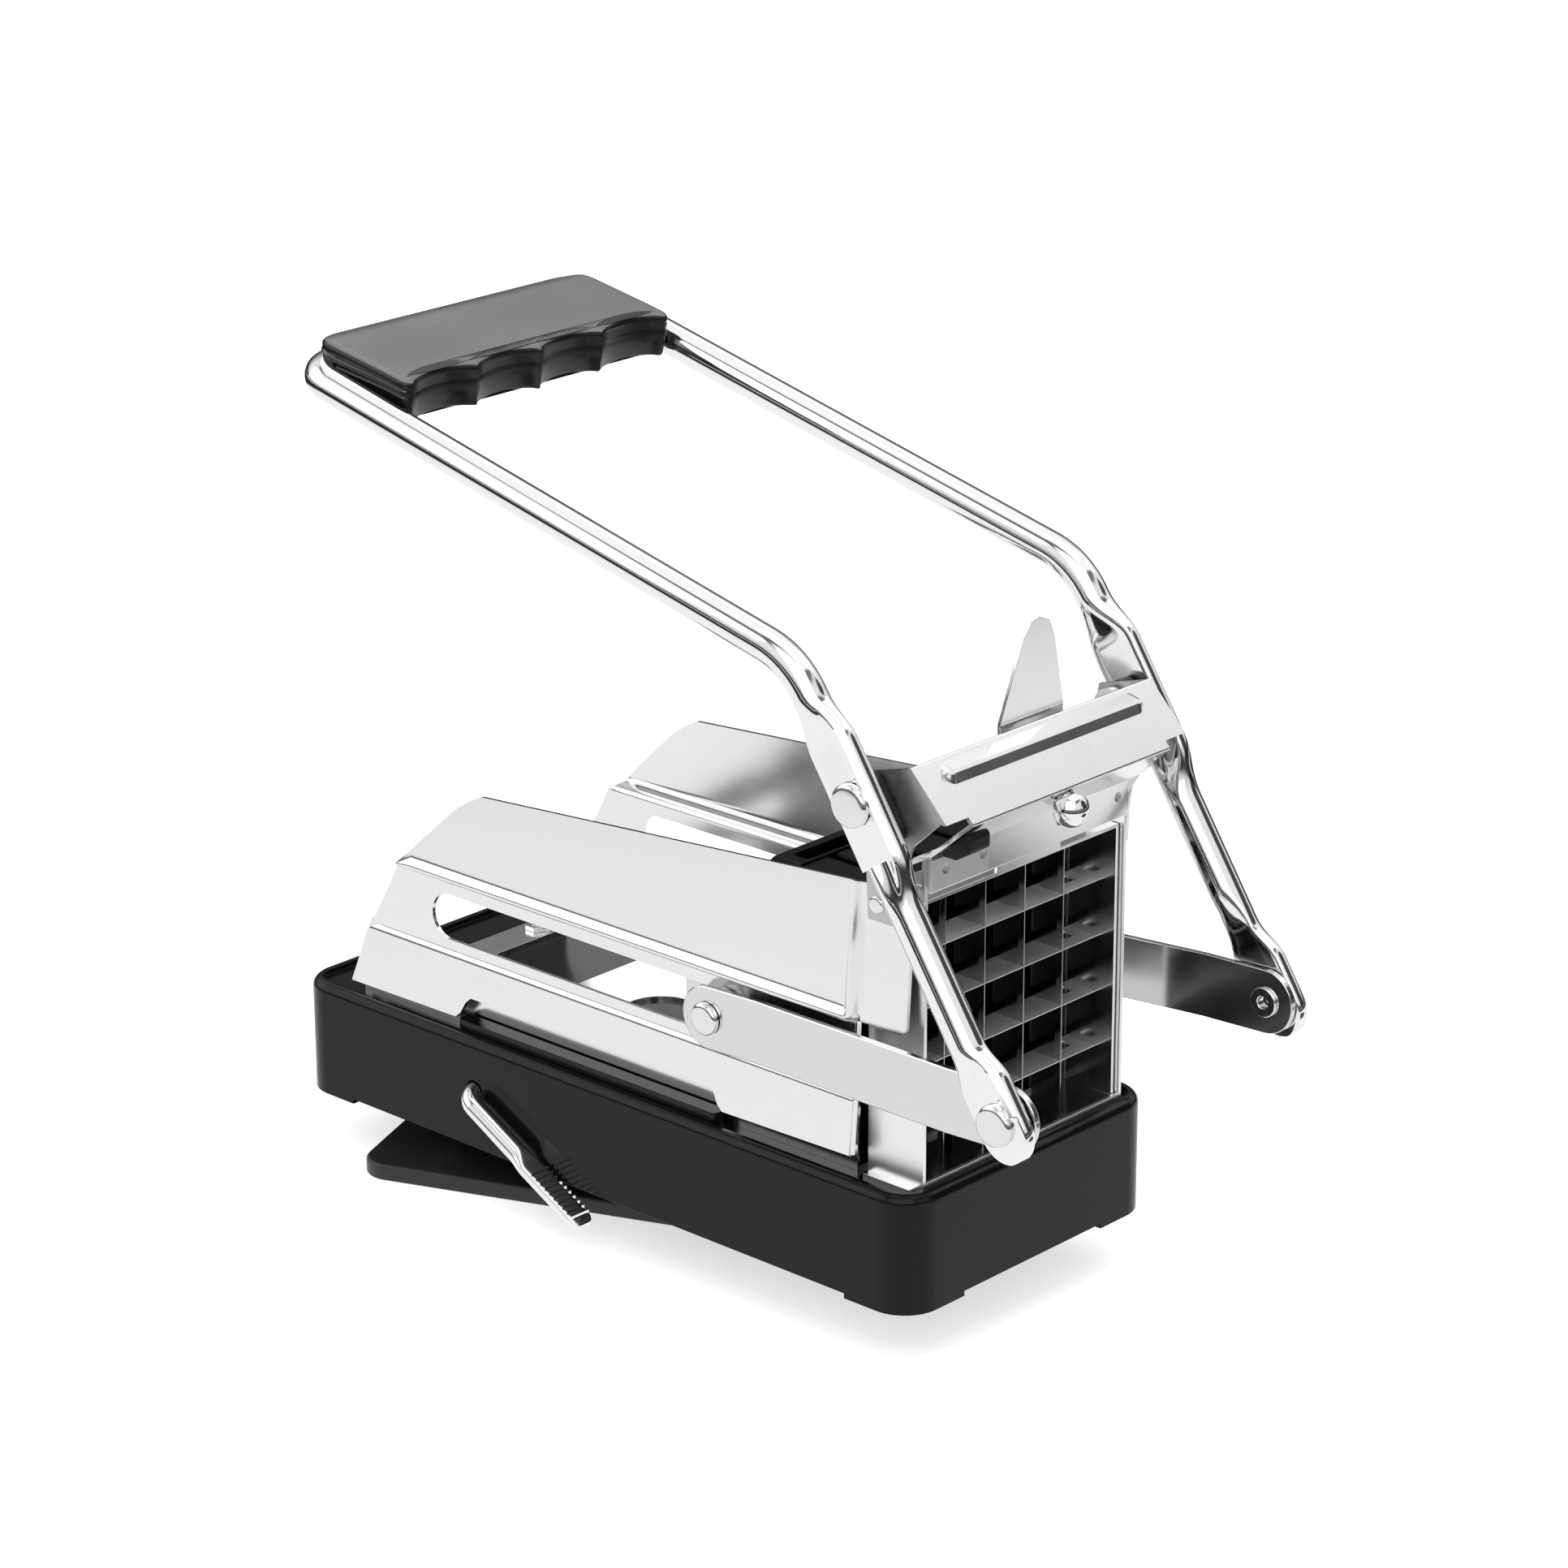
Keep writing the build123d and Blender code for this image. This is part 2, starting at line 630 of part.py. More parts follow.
with BuildPart() as pusher_carriage:
    with BuildSketch(Plane.YZ.offset(pusher_rear - sheet)):
        with Locations((0, 79)):
            RectangleRounded(2 * slide_plate_out, 62, 3)
    extrude(amount=sheet)
    with BuildSketch(Plane.XZ.offset(-(slide_plate_out - sheet))):
        with Locations((slide_x - 1, slide_z)):
            RectangleRounded(30.4, 16.0, 2)
    extrude(amount=-sheet)
    with BuildSketch(Plane.XZ.offset(slide_plate_out - sheet)):
        with Locations((slide_x - 1, slide_z)):
            RectangleRounded(30.4, 16.0, 2)
    extrude(amount=sheet)
    with BuildSketch(Plane.XZ.offset(-60)):
        with Locations((slide_x, slide_z)):
            Circle(3.05)
    extrude(amount=120, mode=Mode.SUBTRACT)
pusher_carriage.part.label = "pusher_carriage"
export_step(pusher_carriage.part, "parts/pusher_carriage.step")

with BuildPart() as slide_rollers:
    with BuildSketch(Plane.XZ.offset(-(slide_plate_out + 0.1))):
        with Locations((slide_x, slide_z)):
            Circle(slot_height / 2 - 0.35)
            Circle(3.05, mode=Mode.SUBTRACT)
    extrude(amount=-(link_rear_mid - link_thick / 2 - fit_gap - slide_plate_out - 0.1))
    mirror(about=Plane.XZ)
slide_rollers.part.label = "slide_rollers"
export_step(slide_rollers.part, "parts/slide_rollers.step")

with BuildPart() as link_pins:
    with BuildSketch(Plane.XZ.offset(-(slide_plate_out - sheet - 1.6))):
        with Locations((slide_x, slide_z)):
            Circle(4.6)
    extrude(amount=-1.58)
    with BuildSketch(Plane.XZ.offset(-(slide_plate_out - sheet - 0.1))):
        with Locations((slide_x, slide_z)):
            Circle(3.0)
    extrude(amount=-(link_rear_mid + link_thick / 2 + 0.35 - slide_plate_out + sheet + 0.1))
    with BuildSketch(Plane.XZ.offset(-(link_rear_mid + link_thick / 2 + 0.3))):
        with Locations((slide_x, slide_z)):
            Circle(4.9)
    extrude(amount=-2.0)
    fillet(link_pins.edges().filter_by(GeomType.CIRCLE).sort_by(Axis.Y)[-1:], 1.3)
    mirror(about=Plane.XZ)
link_pins.part.label = "link_pins"
export_step(link_pins.part, "parts/link_pins.step")

# ---------------------------------------------------------------- links
link_length = math.hypot(foot_x - slide_x, foot_z - slide_z)
link_slope = math.degrees(math.atan2(foot_z - slide_z, foot_x - slide_x))
with BuildPart() as link_left:
    # plan of the cranked flat bar
    with BuildSketch(Plane.XY.offset(slide_z - 20)):
        with BuildLine():
            Polyline((slide_x - 14, link_rear_mid), (slide_x + 18, link_rear_mid),
                     (foot_x - 22, link_front_mid), (foot_x + 14, link_front_mid))
            offset(amount=link_thick / 2, side=Side.BOTH)
        make_face()
    extrude(amount=50)
    # side outline
    with BuildSketch(Plane.XZ.offset(-70)):
        with Locations(Location(((slide_x + foot_x) / 2, (slide_z + foot_z) / 2), link_slope)):
            SlotCenterToCenter(link_length, link_width)
    extrude(amount=70, mode=Mode.INTERSECT)
    with BuildSketch(Plane.XZ.offset(-70)):
        with Locations((slide_x, slide_z)):
            Circle(3.0 + pin_play)
        with Locations((foot_x, foot_z)):
            Circle(3.0 + pin_play)
    extrude(amount=70, mode=Mode.SUBTRACT)
link_left.part.label = "link_left"
export_step(link_left.part, "parts/link_left.step")

with BuildPart() as link_right:
    add(mirror(link_left.part, about=Plane.XZ))
link_right.part.label = "link_right"
export_step(link_right.part, "parts/link_right.step")

# tubular rivets staying in the front eyes of the links
with BuildPart() as link_eyelet_left:
    with BuildSketch(Plane.XZ.offset(-(link_front_mid - link_thick / 2 - 1.0))):
        with Locations((foot_x, foot_z)):
            Circle(4.4)
            Circle(1.8, mode=Mode.SUBTRACT)
    extrude(amount=-0.98)
    with BuildSketch(Plane.XZ.offset(-(link_front_mid - link_thick / 2 - 0.1))):
        with Locations((foot_x, foot_z)):
            Circle(3.0)
            Circle(1.8, mode=Mode.SUBTRACT)
    extrude(amount=-(link_thick + 0.1))
link_eyelet_left.part.label = "link_eyelet_left"
export_step(link_eyelet_left.part, "parts/link_eyelet_left.step")

with BuildPart() as link_eyelet_right:
    add(mirror(link_eyelet_left.part, about=Plane.XZ))
link_eyelet_right.part.label = "link_eyelet_right"
export_step(link_eyelet_right.part, "parts/link_eyelet_right.step")

# ---------------------------------------------------------------- handle
leg_run = math.hypot(arm_corner_x - foot_x, arm_corner_z - foot_z)
leg_x = (arm_corner_x - foot_x) / leg_run
leg_z = (arm_corner_z - foot_z) / leg_run
pivot_run = math.hypot(pivot_x - foot_x, pivot_z - foot_z)
foot_flat_end = 22.0
foot_tube_start = 35.0
flat_start = pivot_run - 19.6
flat_end = pivot_run + 21.0
tube_end = flat_start - 14.0
tube_restart = flat_end + 10.0
flat_width = 18.8
flat_edge_round = 2.2
foot_end_drop = 3.5


def leg_point(distance):
    """Point of the left leg's centre line at a distance above the foot rivet."""
    return (foot_x + leg_x * distance, rod_mid, foot_z + leg_z * distance)


def leg_plane(distance):
    """Plane square to the left leg, local X across the leg (forwards) and local Y towards +Y."""
    return Plane(origin=leg_point(distance), x_dir=(leg_z, 0, -leg_x), z_dir=(leg_x, 0, leg_z))


def side_plane(offset_y):
    """Plane parallel to X-Z with its origin at the foot rivet and local X up along the leg."""
    return Plane(origin=(foot_x, offset_y, foot_z), x_dir=(leg_x, 0, leg_z), z_dir=(0, 1, 0))


with BuildPart() as handle_leg:
    # flat foot with a round end
    with BuildSketch(side_plane(flat_mid - flat_thick / 2)):
        with Locations((-foot_end_drop, 0)):
            Circle(flat_width / 2 - 0.2)
    extrude(amount=flat_thick)
    fillet(handle_leg.edges().filter_by(GeomType.CIRCLE), flat_edge_round - 0.4)
    # the pressed foot and the pressed flat at the main pivot
    for start, end in ((-foot_end_drop, foot_flat_end), (flat_start, flat_end)):
        with BuildSketch(leg_plane(start)):
            with Locations((0, flat_mid - rod_mid)):
                RectangleRounded(flat_width, flat_thick, flat_edge_round)
        extrude(amount=end - start)
    # pressed transitions between the flats and the round rod
    for flat_at, round_at in ((foot_flat_end, foot_tube_start), (flat_start, tube_end), (flat_end, tube_restart)):
        with BuildSketch(leg_plane(flat_at)):
            with Locations((0, flat_mid - rod_mid)):
                RectangleRounded(flat_width, flat_thick, flat_edge_round)
        with BuildSketch(leg_plane(round_at)):
            Circle(rod_diameter / 2)
        loft()
    # round rod between the flats
    with BuildSketch(leg_plane(foot_tube_start)):
        Circle(rod_diameter / 2)
    extrude(amount=tube_end - foot_tube_start)
    with BuildSketch(side_plane(40)):
        with Locations((pivot_run, 0)):
            Circle(pivot_radius + pin_play)
        with Locations((0, 0)):
            Circle(3.0 + pin_play)
    extrude(amount=40, mode=Mode.SUBTRACT)

with BuildPart() as handle_rod:
    with BuildLine():
        FilletPolyline(
            leg_point(tube_restart - 0.5),
            (arm_corner_x, rod_mid, arm_corner_z),
            (grip_bar_x, rod_mid, grip_bar_z),
            (grip_bar_x, -rod_mid, grip_bar_z),
            (arm_corner_x, -rod_mid, arm_corner_z),
            (leg_point(tube_restart - 0.5)[0], -rod_mid, leg_point(tube_restart - 0.5)[2]),
            radius=(26, 11, 11, 26),
        )
    with BuildSketch(leg_plane(tube_restart - 0.5)):
        Circle(rod_diameter / 2)
    sweep()
    add(handle_leg.part)
    add(mirror(handle_leg.part, about=Plane.XZ))
handle_rod.part.label = "handle_rod"
export_step(handle_rod.part, "parts/handle_rod.step")

# ---------------------------------------------------------------- grip
arm_run = math.hypot(arm_corner_x - grip_bar_x, grip_bar_z - arm_corner_z)
arm_dir_x = (arm_corner_x - grip_bar_x) / arm_run
arm_dir_z = (arm_corner_z - grip_bar_z) / arm_run
grip_half = 53.5
grip_depth = 42.0
scallop_radius = 15.0
scallop_pitch = 25.6
scallop_cut = 6.5
arm_dir = (arm_dir_x, 0, arm_dir_z)
arm_normal = (-arm_dir_z, 0, arm_dir_x)
grip_side = Plane(origin=(grip_bar_x, grip_half, grip_bar_z), x_dir=arm_dir, z_dir=(0, -1, 0))
grip_top = Plane(origin=(grip_bar_x, 0, grip_bar_z), x_dir=arm_dir, z_dir=arm_normal)
with BuildPart() as grip:
    with BuildSketch(grip_side):
        with BuildLine():
            Polyline(
                (grip_depth, -2.6),
                (grip_depth, 7.6),
                (2.0, 8.6),
                (-4.4, 6.6),
                (-7.0, 2.6),
                (-7.2, -2.0),
                (-5.0, -6.0),
                (0.0, -7.2),
                (10.0, -5.4),
                close=True,
            )
        make_face()
    extrude(amount=2 * grip_half)
    # finger scallops along the front
    with BuildSketch(grip_top.offset(-20)):
        for index in range(4):
            with Locations((grip_depth + scallop_radius - scallop_cut, (index - 1.5) * scallop_pitch)):
                Circle(scallop_radius)
    extrude(amount=40, mode=Mode.SUBTRACT)
    # rounded plan corners
    with BuildSketch(grip_top.offset(-20)):
        with Locations((grip_depth / 2 - 4, 0)):
            RectangleRounded(grip_depth + 9, 2 * grip_half, 7)
    extrude(amount=40, mode=Mode.INTERSECT)
    # step under the top face, seen at both ends
    with BuildSketch(grip_top.offset(3.4)):
        with Locations((grip_depth / 2 - 4, 0)):
            RectangleRounded(grip_depth + 20, 2 * grip_half + 10, 7)
            RectangleRounded(grip_depth + 19, 2 * grip_half - 1.6, 6.4, mode=Mode.SUBTRACT)
    extrude(amount=1.1, mode=Mode.SUBTRACT)
    add(handle_rod.part, mode=Mode.SUBTRACT)
grip.part.label = "grip"
export_step(grip.part, "parts/grip.step")

with BuildPart() as foot_rivets:
    with BuildSketch(side_plane(flat_mid - flat_thick / 2 + 0.02)):
        Circle(3.0)
    extrude(amount=flat_thick + 0.1)
    with BuildSketch(side_plane(flat_mid + flat_thick / 2 + 0.02)):
        Circle(7.0)
    extrude(amount=2.2)
    fillet(foot_rivets.edges().filter_by(GeomType.CIRCLE).sort_by(Axis.Y)[-1:], 1.4)
    mirror(about=Plane.XZ)
foot_rivets.part.label = "foot_rivets"
export_step(foot_rivets.part, "parts/foot_rivets.step")

# ---------------------------------------------------------------- suction foot
lever_reach = 57.0
lever_fall = 28.0
lever_mid = -(base_width / 2 + 4.6)
lever_tip_x = axle_x + lever_reach * math.cos(math.radians(lever_fall))
lever_tip_z = axle_z - lever_reach * math.sin(math.radians(lever_fall))
blade_part = 27.0        # length of the flattened, serrated end
blade_x = axle_x + (lever_reach - blade_part) * math.cos(math.radians(lever_fall))
blade_z = axle_z - (lever_reach - blade_part) * math.sin(math.radians(lever_fall))
crank_x = axle_x + crank_throw * math.cos(math.radians(45))
crank_z = axle_z - crank_throw * math.sin(math.radians(45))
lever_plane = Plane(
    origin=(axle_x, lever_mid, axle_z),
    x_dir=(math.cos(math.radians(lever_fall)), 0, -math.sin(math.radians(lever_fall))),
    z_dir=(math.sin(math.radians(lever_fall)), 0, math.cos(math.radians(lever_fall))),
)
with BuildPart() as suction_lever:
    with BuildLine():
        FilletPolyline(
            (axle_x, -8.0, axle_z),
            (axle_x, lever_mid, axle_z),
            (blade_x, lever_mid, blade_z),
            radius=6.0,
        )
    with BuildSketch(Plane(origin=(axle_x, -8.0, axle_z), x_dir=(1, 0, 0), z_dir=(0, -1, 0))):
        Circle(axle_diameter / 2)
    sweep()
    # far half of the axle
    with BuildSketch(Plane.XZ.offset(-6.5)):
        with Locations((axle_x, axle_z)):
            Circle(axle_diameter / 2)
    extrude(amount=-18.5)
    # crank webs and crank pin
    with BuildSketch(Plane.XZ.offset(-9)):
        with Locations(Location(((axle_x + crank_x) / 2, (axle_z + crank_z) / 2), -45)):
            SlotCenterToCenter(crank_throw, 7.6)
    extrude(amount=3)
    with BuildSketch(Plane.XZ.offset(6)):
        with Locations(Location(((axle_x + crank_x) / 2, (axle_z + crank_z) / 2), -45)):
            SlotCenterToCenter(crank_throw, 7.6)
    extrude(amount=3)
    with BuildSketch(Plane.XZ.offset(-7)):
        with Locations((crank_x, crank_z)):
            Circle(crank_pin_radius)
    extrude(amount=14)
    # flattened end with cross serrations
    with BuildSketch(lever_plane.offset(-1.6)):
        with Locations((lever_reach - blade_part / 2 - 1, 0)):
            RectangleRounded(blade_part + 2, 8.0, 2.4)
    extrude(amount=3.2)
    with BuildSketch(Plane(origin=(axle_x, lever_mid - 6, axle_z), x_dir=lever_plane.x_dir, z_dir=(0, 1, 0))):
        with Locations(*[(lever_reach - 3.2 - 2.1 * step, -1.9) for step in range(10)]):
            Circle(0.75)
    extrude(amount=12, mode=Mode.SUBTRACT)
suction_lever.part.label = "suction_lever"
export_step(suction_lever.part, "parts/suction_lever.step")

hinge_z = hinge_height - pad_drop
with BuildPart() as suction_stem:
    with BuildSketch(Plane.XZ.offset(-1.5)):
        with Locations((axle_x, (hinge_z + crank_z) / 2)):
            RectangleRounded(6.4, crank_z - hinge_z + 6.4, 3.1)
        with Locations((axle_x + 5.3, crank_z)):
            RectangleRounded(20.0, 9.2, 3)
        with Locations((axle_x + 8.2, crank_z)):
            SlotOverall(8.4, 2 * crank_pin_radius + 0.8, mode=Mode.SUBTRACT)
        with Locations((axle_x, hinge_z)):
            Circle(2.0, mode=Mode.SUBTRACT)
    extrude(amount=3)
suction_stem.part.label = "suction_stem"
export_step(suction_stem.part, "parts/suction_stem.step")

with BuildPart() as stem_pin:
    with BuildSketch(Plane.XZ.offset(-8)):
        with Locations((axle_x, hinge_z)):
            Circle(1.98)
    extrude(amount=16)
stem_pin.part.label = "stem_pin"
export_step(stem_pin.part, "parts/stem_pin.step")

# round yoke on the stem pin, held in the pad's hub so that the pad can swivel
with BuildPart() as pad_yoke:
    with BuildSketch(Plane.XZ.offset(-6.4)):
        with Locations((axle_x, hinge_z - 0.8)):
            Rectangle(9.0, 8.0)
    extrude(amount=12.8)
    with BuildSketch(Plane.XY.offset(hinge_z - 8.4)):
        with Locations((axle_x, 0)):
            Circle(yoke_disc_radius)
    extrude(amount=2.0)
    with BuildSketch(Plane.XY.offset(hinge_z - 6.5)):
        with Locations((axle_x, 0)):
            Circle(yoke_neck_radius)
    extrude(amount=2.0)
    with BuildSketch(Plane.XZ.offset(-2.4)):
        with Locations((axle_x, hinge_z)):
            Rectangle(20, 7.4)
    extrude(amount=4.8, mode=Mode.SUBTRACT)
    with BuildSketch(Plane.XZ.offset(-10)):
        with Locations((axle_x, hinge_z)):
            Circle(2.0)
    extrude(amount=20, mode=Mode.SUBTRACT)
pad_yoke.part.label = "pad_yoke"
export_step(pad_yoke.part, "parts/pad_yoke.step")

with BuildPart() as level_pad:
    # drawn square to the base about the stem pin: rim, flank, hollow underside and hub socket
    with BuildSketch(Plane.XY.offset(-hinge_height)):
        RectangleRounded(pad_length, pad_width, pad_corner)
    extrude(amount=5.0)
    fillet(level_pad.faces().sort_by(Axis.Z)[-1].edges(), 1.2)
    with BuildSketch(Plane.XY.offset(-hinge_height + 4.9)):
        RectangleRounded(pad_length - 14, pad_width - 14, pad_corner - 2)
    with BuildSketch(Plane.XY.offset(-hinge_height + 7.8)):
        RectangleRounded(44, 34, 10)
    loft()
    with BuildSketch(Plane.XY.offset(-hinge_height)):
        RectangleRounded(pad_length - 8, pad_width - 8, pad_corner - 3)
    with BuildSketch(Plane.XY.offset(-hinge_height + 2.6)):
        RectangleRounded(30, 22, 8)
    loft(mode=Mode.SUBTRACT)
    with BuildSketch(Plane.XY.offset(-8.7)):
        Circle(yoke_disc_radius + 0.3)
    extrude(amount=2.6, mode=Mode.SUBTRACT)
    with BuildSketch(Plane.XY.offset(-8.0)):
        Circle(yoke_neck_radius + 0.3)
    extrude(amount=6, mode=Mode.SUBTRACT)
with BuildPart() as suction_pad:
    with Locations(Location((axle_x, 0, hinge_z), (0, 0, pad_swivel))):
        add(level_pad.part)
suction_pad.part.label = "suction_pad"
export_step(suction_pad.part, "parts/suction_pad.step")
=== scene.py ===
"""Lever potato chipper: finishes, detailed pieces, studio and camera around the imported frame."""
import json
import logging
import math
from dataclasses import dataclass
from enum import Enum

import bmesh
import bpy
from mathutils import Matrix, Vector


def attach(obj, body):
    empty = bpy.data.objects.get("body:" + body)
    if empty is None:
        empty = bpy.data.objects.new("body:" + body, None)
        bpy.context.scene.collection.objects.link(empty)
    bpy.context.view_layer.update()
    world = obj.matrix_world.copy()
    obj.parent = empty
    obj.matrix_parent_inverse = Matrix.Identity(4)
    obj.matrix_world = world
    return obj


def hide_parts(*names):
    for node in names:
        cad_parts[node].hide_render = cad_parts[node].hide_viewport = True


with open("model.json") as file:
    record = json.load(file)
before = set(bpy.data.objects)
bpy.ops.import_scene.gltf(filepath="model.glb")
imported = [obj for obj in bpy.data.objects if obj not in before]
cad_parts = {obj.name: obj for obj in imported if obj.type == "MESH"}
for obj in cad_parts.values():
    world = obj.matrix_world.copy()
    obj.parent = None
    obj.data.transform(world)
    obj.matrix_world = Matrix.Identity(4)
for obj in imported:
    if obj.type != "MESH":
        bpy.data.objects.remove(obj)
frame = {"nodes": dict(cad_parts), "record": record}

LOG = logging.getLogger("chipper")
MM = 0.001
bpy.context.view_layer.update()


# ---------------------------------------------------------------- shader tools
class Signal:
    """A shader value that adds Math nodes when it stands in an expression."""

    def __init__(self, graph: "ShaderGraph", socket: bpy.types.NodeSocket) -> None:
        """Wraps a socket.

        Args:
            graph: The graph that the socket belongs to.
            socket: The output socket that carries the value.
        """
        self.graph = graph
        self.socket = socket

    def _math(self, operation: str, first: object, second: object) -> "Signal":
        """Adds one Math node.

        Args:
            operation: The Math node's operation.
            first: First operand.
            second: Second operand.

        Returns:
            The node's result.
        """
        return self.graph.signal("ShaderNodeMath", {"operation": operation}, {0: first, 1: second})

    def __add__(self, other: object) -> "Signal":
        """Sum."""
        return self._math("ADD", self, other)

    __radd__ = __add__

    def __sub__(self, other: object) -> "Signal":
        """Difference."""
        return self._math("SUBTRACT", self, other)

    def __rsub__(self, other: object) -> "Signal":
        """Reflected difference."""
        return self._math("SUBTRACT", other, self)

    def __mul__(self, other: object) -> "Signal":
        """Product."""
        return self._math("MULTIPLY", self, other)

    __rmul__ = __mul__

    def clipped(self) -> "Signal":
        """The value held between 0 and 1."""
        node = self.graph.node("ShaderNodeClamp", {}, {"Value": self})
        return Signal(self.graph, node.outputs[0])


class ShaderGraph:
    """Builds the node tree of one material or of the world."""

    def __init__(self, tree: bpy.types.NodeTree) -> None:
        """Empties the tree.

        Args:
            tree: The tree to build in.
        """
        self.tree = tree
        tree.nodes.clear()

    def node(self, kind: str, settings: dict, inputs: dict) -> bpy.types.Node:
        """Adds a node.

        Args:
            kind: Node type.
            settings: Node properties, set first; "stops" fills a colour ramp.
            inputs: Values or links of the sockets, by name or index.

        Returns:
            The new node.
        """
        made = self.tree.nodes.new(kind)
        for name, value in settings.items():
            if name == "stops":
                self._fill_ramp(made.color_ramp, value)
            else:
                setattr(made, name, value)
        for key, value in inputs.items():
            target = made.inputs[key]
            if isinstance(value, Signal):
                self.tree.links.new(value.socket, target)
            elif isinstance(value, bpy.types.NodeSocket):
                self.tree.links.new(value, target)
            else:
                target.default_value = value
        return made

    @staticmethod
    def _fill_ramp(ramp: bpy.types.ColorRamp, stops: list[tuple[float, float]]) -> None:
        """Sets a grey ramp's stops.

        Args:
            ramp: The ramp.
            stops: Position and grey level of each stop.
        """
        while len(ramp.elements) < len(stops):
            ramp.elements.new(0.5)
        for element, (position, level) in zip(ramp.elements, stops):
            element.position = position
            element.color = (level, level, level, 1)

    def signal(self, kind: str, settings: dict, inputs: dict, output: object = 0) -> Signal:
        """Adds a node and wraps one of its outputs.

        Args:
            kind: Node type.
            settings: Node properties.
            inputs: Values or links of the sockets.
            output: Name or index of the output.

        Returns:
            The wrapped output.
        """
        return Signal(self, self.node(kind, settings, inputs).outputs[output])

    def noise(
        self, scale: float, detail: float = 3.0, stretch: tuple = (1, 1, 1), seed: float = 0.0
    ) -> Signal:
        """Noise on object coordinates.

        Args:
            scale: Noise scale per metre.
            detail: Noise detail.
            stretch: Factor on each axis.
            seed: Offset of the pattern.

        Returns:
            The noise value, 0 to 1.
        """
        place = self.node("ShaderNodeTexCoord", {}, {}).outputs["Object"]
        mapping = {"Vector": place, "Location": (seed, seed, seed), "Scale": stretch}
        mapped = self.node("ShaderNodeMapping", {}, mapping).outputs[0]
        inputs = {"Vector": mapped, "Scale": scale, "Detail": detail}
        return self.signal("ShaderNodeTexNoise", {}, inputs, "Fac")

    def blend(self, factor: object, low: tuple, high: tuple) -> bpy.types.NodeSocket:
        """Mixes two colours.

        Args:
            factor: Mix factor.
            low: Colour at 0.
            high: Colour at 1.

        Returns:
            The mixed colour.
        """
        made = self.node("ShaderNodeMix", {"data_type": "RGBA"}, {"Factor": factor, "A": low, "B": high})
        return made.outputs["Result"]

    def finish(self, constants: dict, varying: dict, bumps: list[tuple[Signal, float, float]]) -> None:
        """Ends the tree in a Principled shader.

        Args:
            constants: Constant sockets.
            varying: Sockets that change over the surface.
            bumps: Height signal, strength and distance of each bump, finest last.
        """
        normal = None
        for height, strength, distance in bumps:
            inputs = {"Strength": strength, "Distance": distance, "Height": height}
            if normal is not None:
                inputs["Normal"] = normal
            normal = self.node("ShaderNodeBump", {}, inputs).outputs[0]
        inputs = dict(constants)
        inputs.update(varying)
        if normal is not None:
            inputs["Normal"] = normal
        shader = self.node("ShaderNodeBsdfPrincipled", {}, inputs)
        self.node("ShaderNodeOutputMaterial", {}, {"Surface": shader.outputs[0]})


def grey(level: float) -> tuple[float, float, float, float]:
    """An opaque neutral colour."""
    return (level, level, level, 1.0)


# ---------------------------------------------------------------- finishes
@dataclass(frozen=True)
class PlatedSteel:
    """Bright plated or polished steel with faint rolling lines, smears and waviness."""

    name: str
    level: float = 0.80
    roughness: float = 0.10
    smear: float = 0.10
    lines: tuple = (1.0, 1.0, 1.0)
    wave: float = 0.25
    grain: float = 0.0

    def make(self) -> bpy.types.Material:
        """Builds the material."""
        material = bpy.data.materials.new(self.name)
        material.use_nodes = True
        graph = ShaderGraph(material.node_tree)
        smears = graph.noise(38.0, 4.0, seed=3.1)
        rolled = graph.noise(420.0, 2.0, self.lines, seed=1.7)
        wide = graph.noise(11.0, 1.0, seed=8.0)
        fine = graph.noise(2600.0, 2.0, seed=5.0)
        tone = (smears * 0.5 + rolled * 0.5).clipped()
        colour = graph.blend(tone, grey(self.level * 0.93), grey(min(1.0, self.level * 1.05)))
        roughness = (self.roughness + smears * self.smear + (rolled - 0.5) * self.smear * 0.6).clipped()
        graph.finish(
            {"Metallic": 1.0},
            {"Base Color": colour, "Roughness": roughness},
            [(wide, self.wave, 0.0006), (rolled, 0.05, 0.00006), (fine, self.grain, 0.00005)],
        )
        return material


@dataclass(frozen=True)
class MouldedPlastic:
    """Black moulded plastic with a fine grain and a few rubbed places."""

    name: str
    level: float = 0.012
    roughness: float = 0.22
    grain: float = 0.04
    rub: float = 0.10
    specular: float = 0.5

    def make(self) -> bpy.types.Material:
        """Builds the material."""
        material = bpy.data.materials.new(self.name)
        material.use_nodes = True
        graph = ShaderGraph(material.node_tree)
        patches = graph.noise(24.0, 3.0, seed=2.0)
        grain = graph.noise(1800.0, 3.0, seed=4.0)
        flow = graph.noise(60.0, 1.0, (1, 1, 0.3), seed=6.0)
        colour = graph.blend(patches, grey(self.level * 0.8), grey(self.level * 1.4))
        roughness = (self.roughness + (patches - 0.5) * self.rub + (grain - 0.5) * 0.08).clipped()
        graph.finish(
            {"Specular IOR Level": self.specular, "IOR": 1.5},
            {"Base Color": colour, "Roughness": roughness},
            [(flow, 0.06, 0.0004), (grain, self.grain, 0.00004)],
        )
        return material


@dataclass(frozen=True)
class CupRubber:
    """Soft black rubber with a dusty bloom."""

    name: str

    def make(self) -> bpy.types.Material:
        """Builds the material."""
        material = bpy.data.materials.new(self.name)
        material.use_nodes = True
        graph = ShaderGraph(material.node_tree)
        bloom = graph.noise(30.0, 5.0, seed=9.0)
        pores = graph.noise(2200.0, 4.0, seed=2.5)
        colour = graph.blend(bloom, grey(0.010), grey(0.026))
        roughness = (0.42 + (bloom - 0.5) * 0.25 + (pores - 0.5) * 0.1).clipped()
        graph.finish({"IOR": 1.5}, {"Base Color": colour, "Roughness": roughness}, [(pores, 0.12, 0.00006)])
        return material


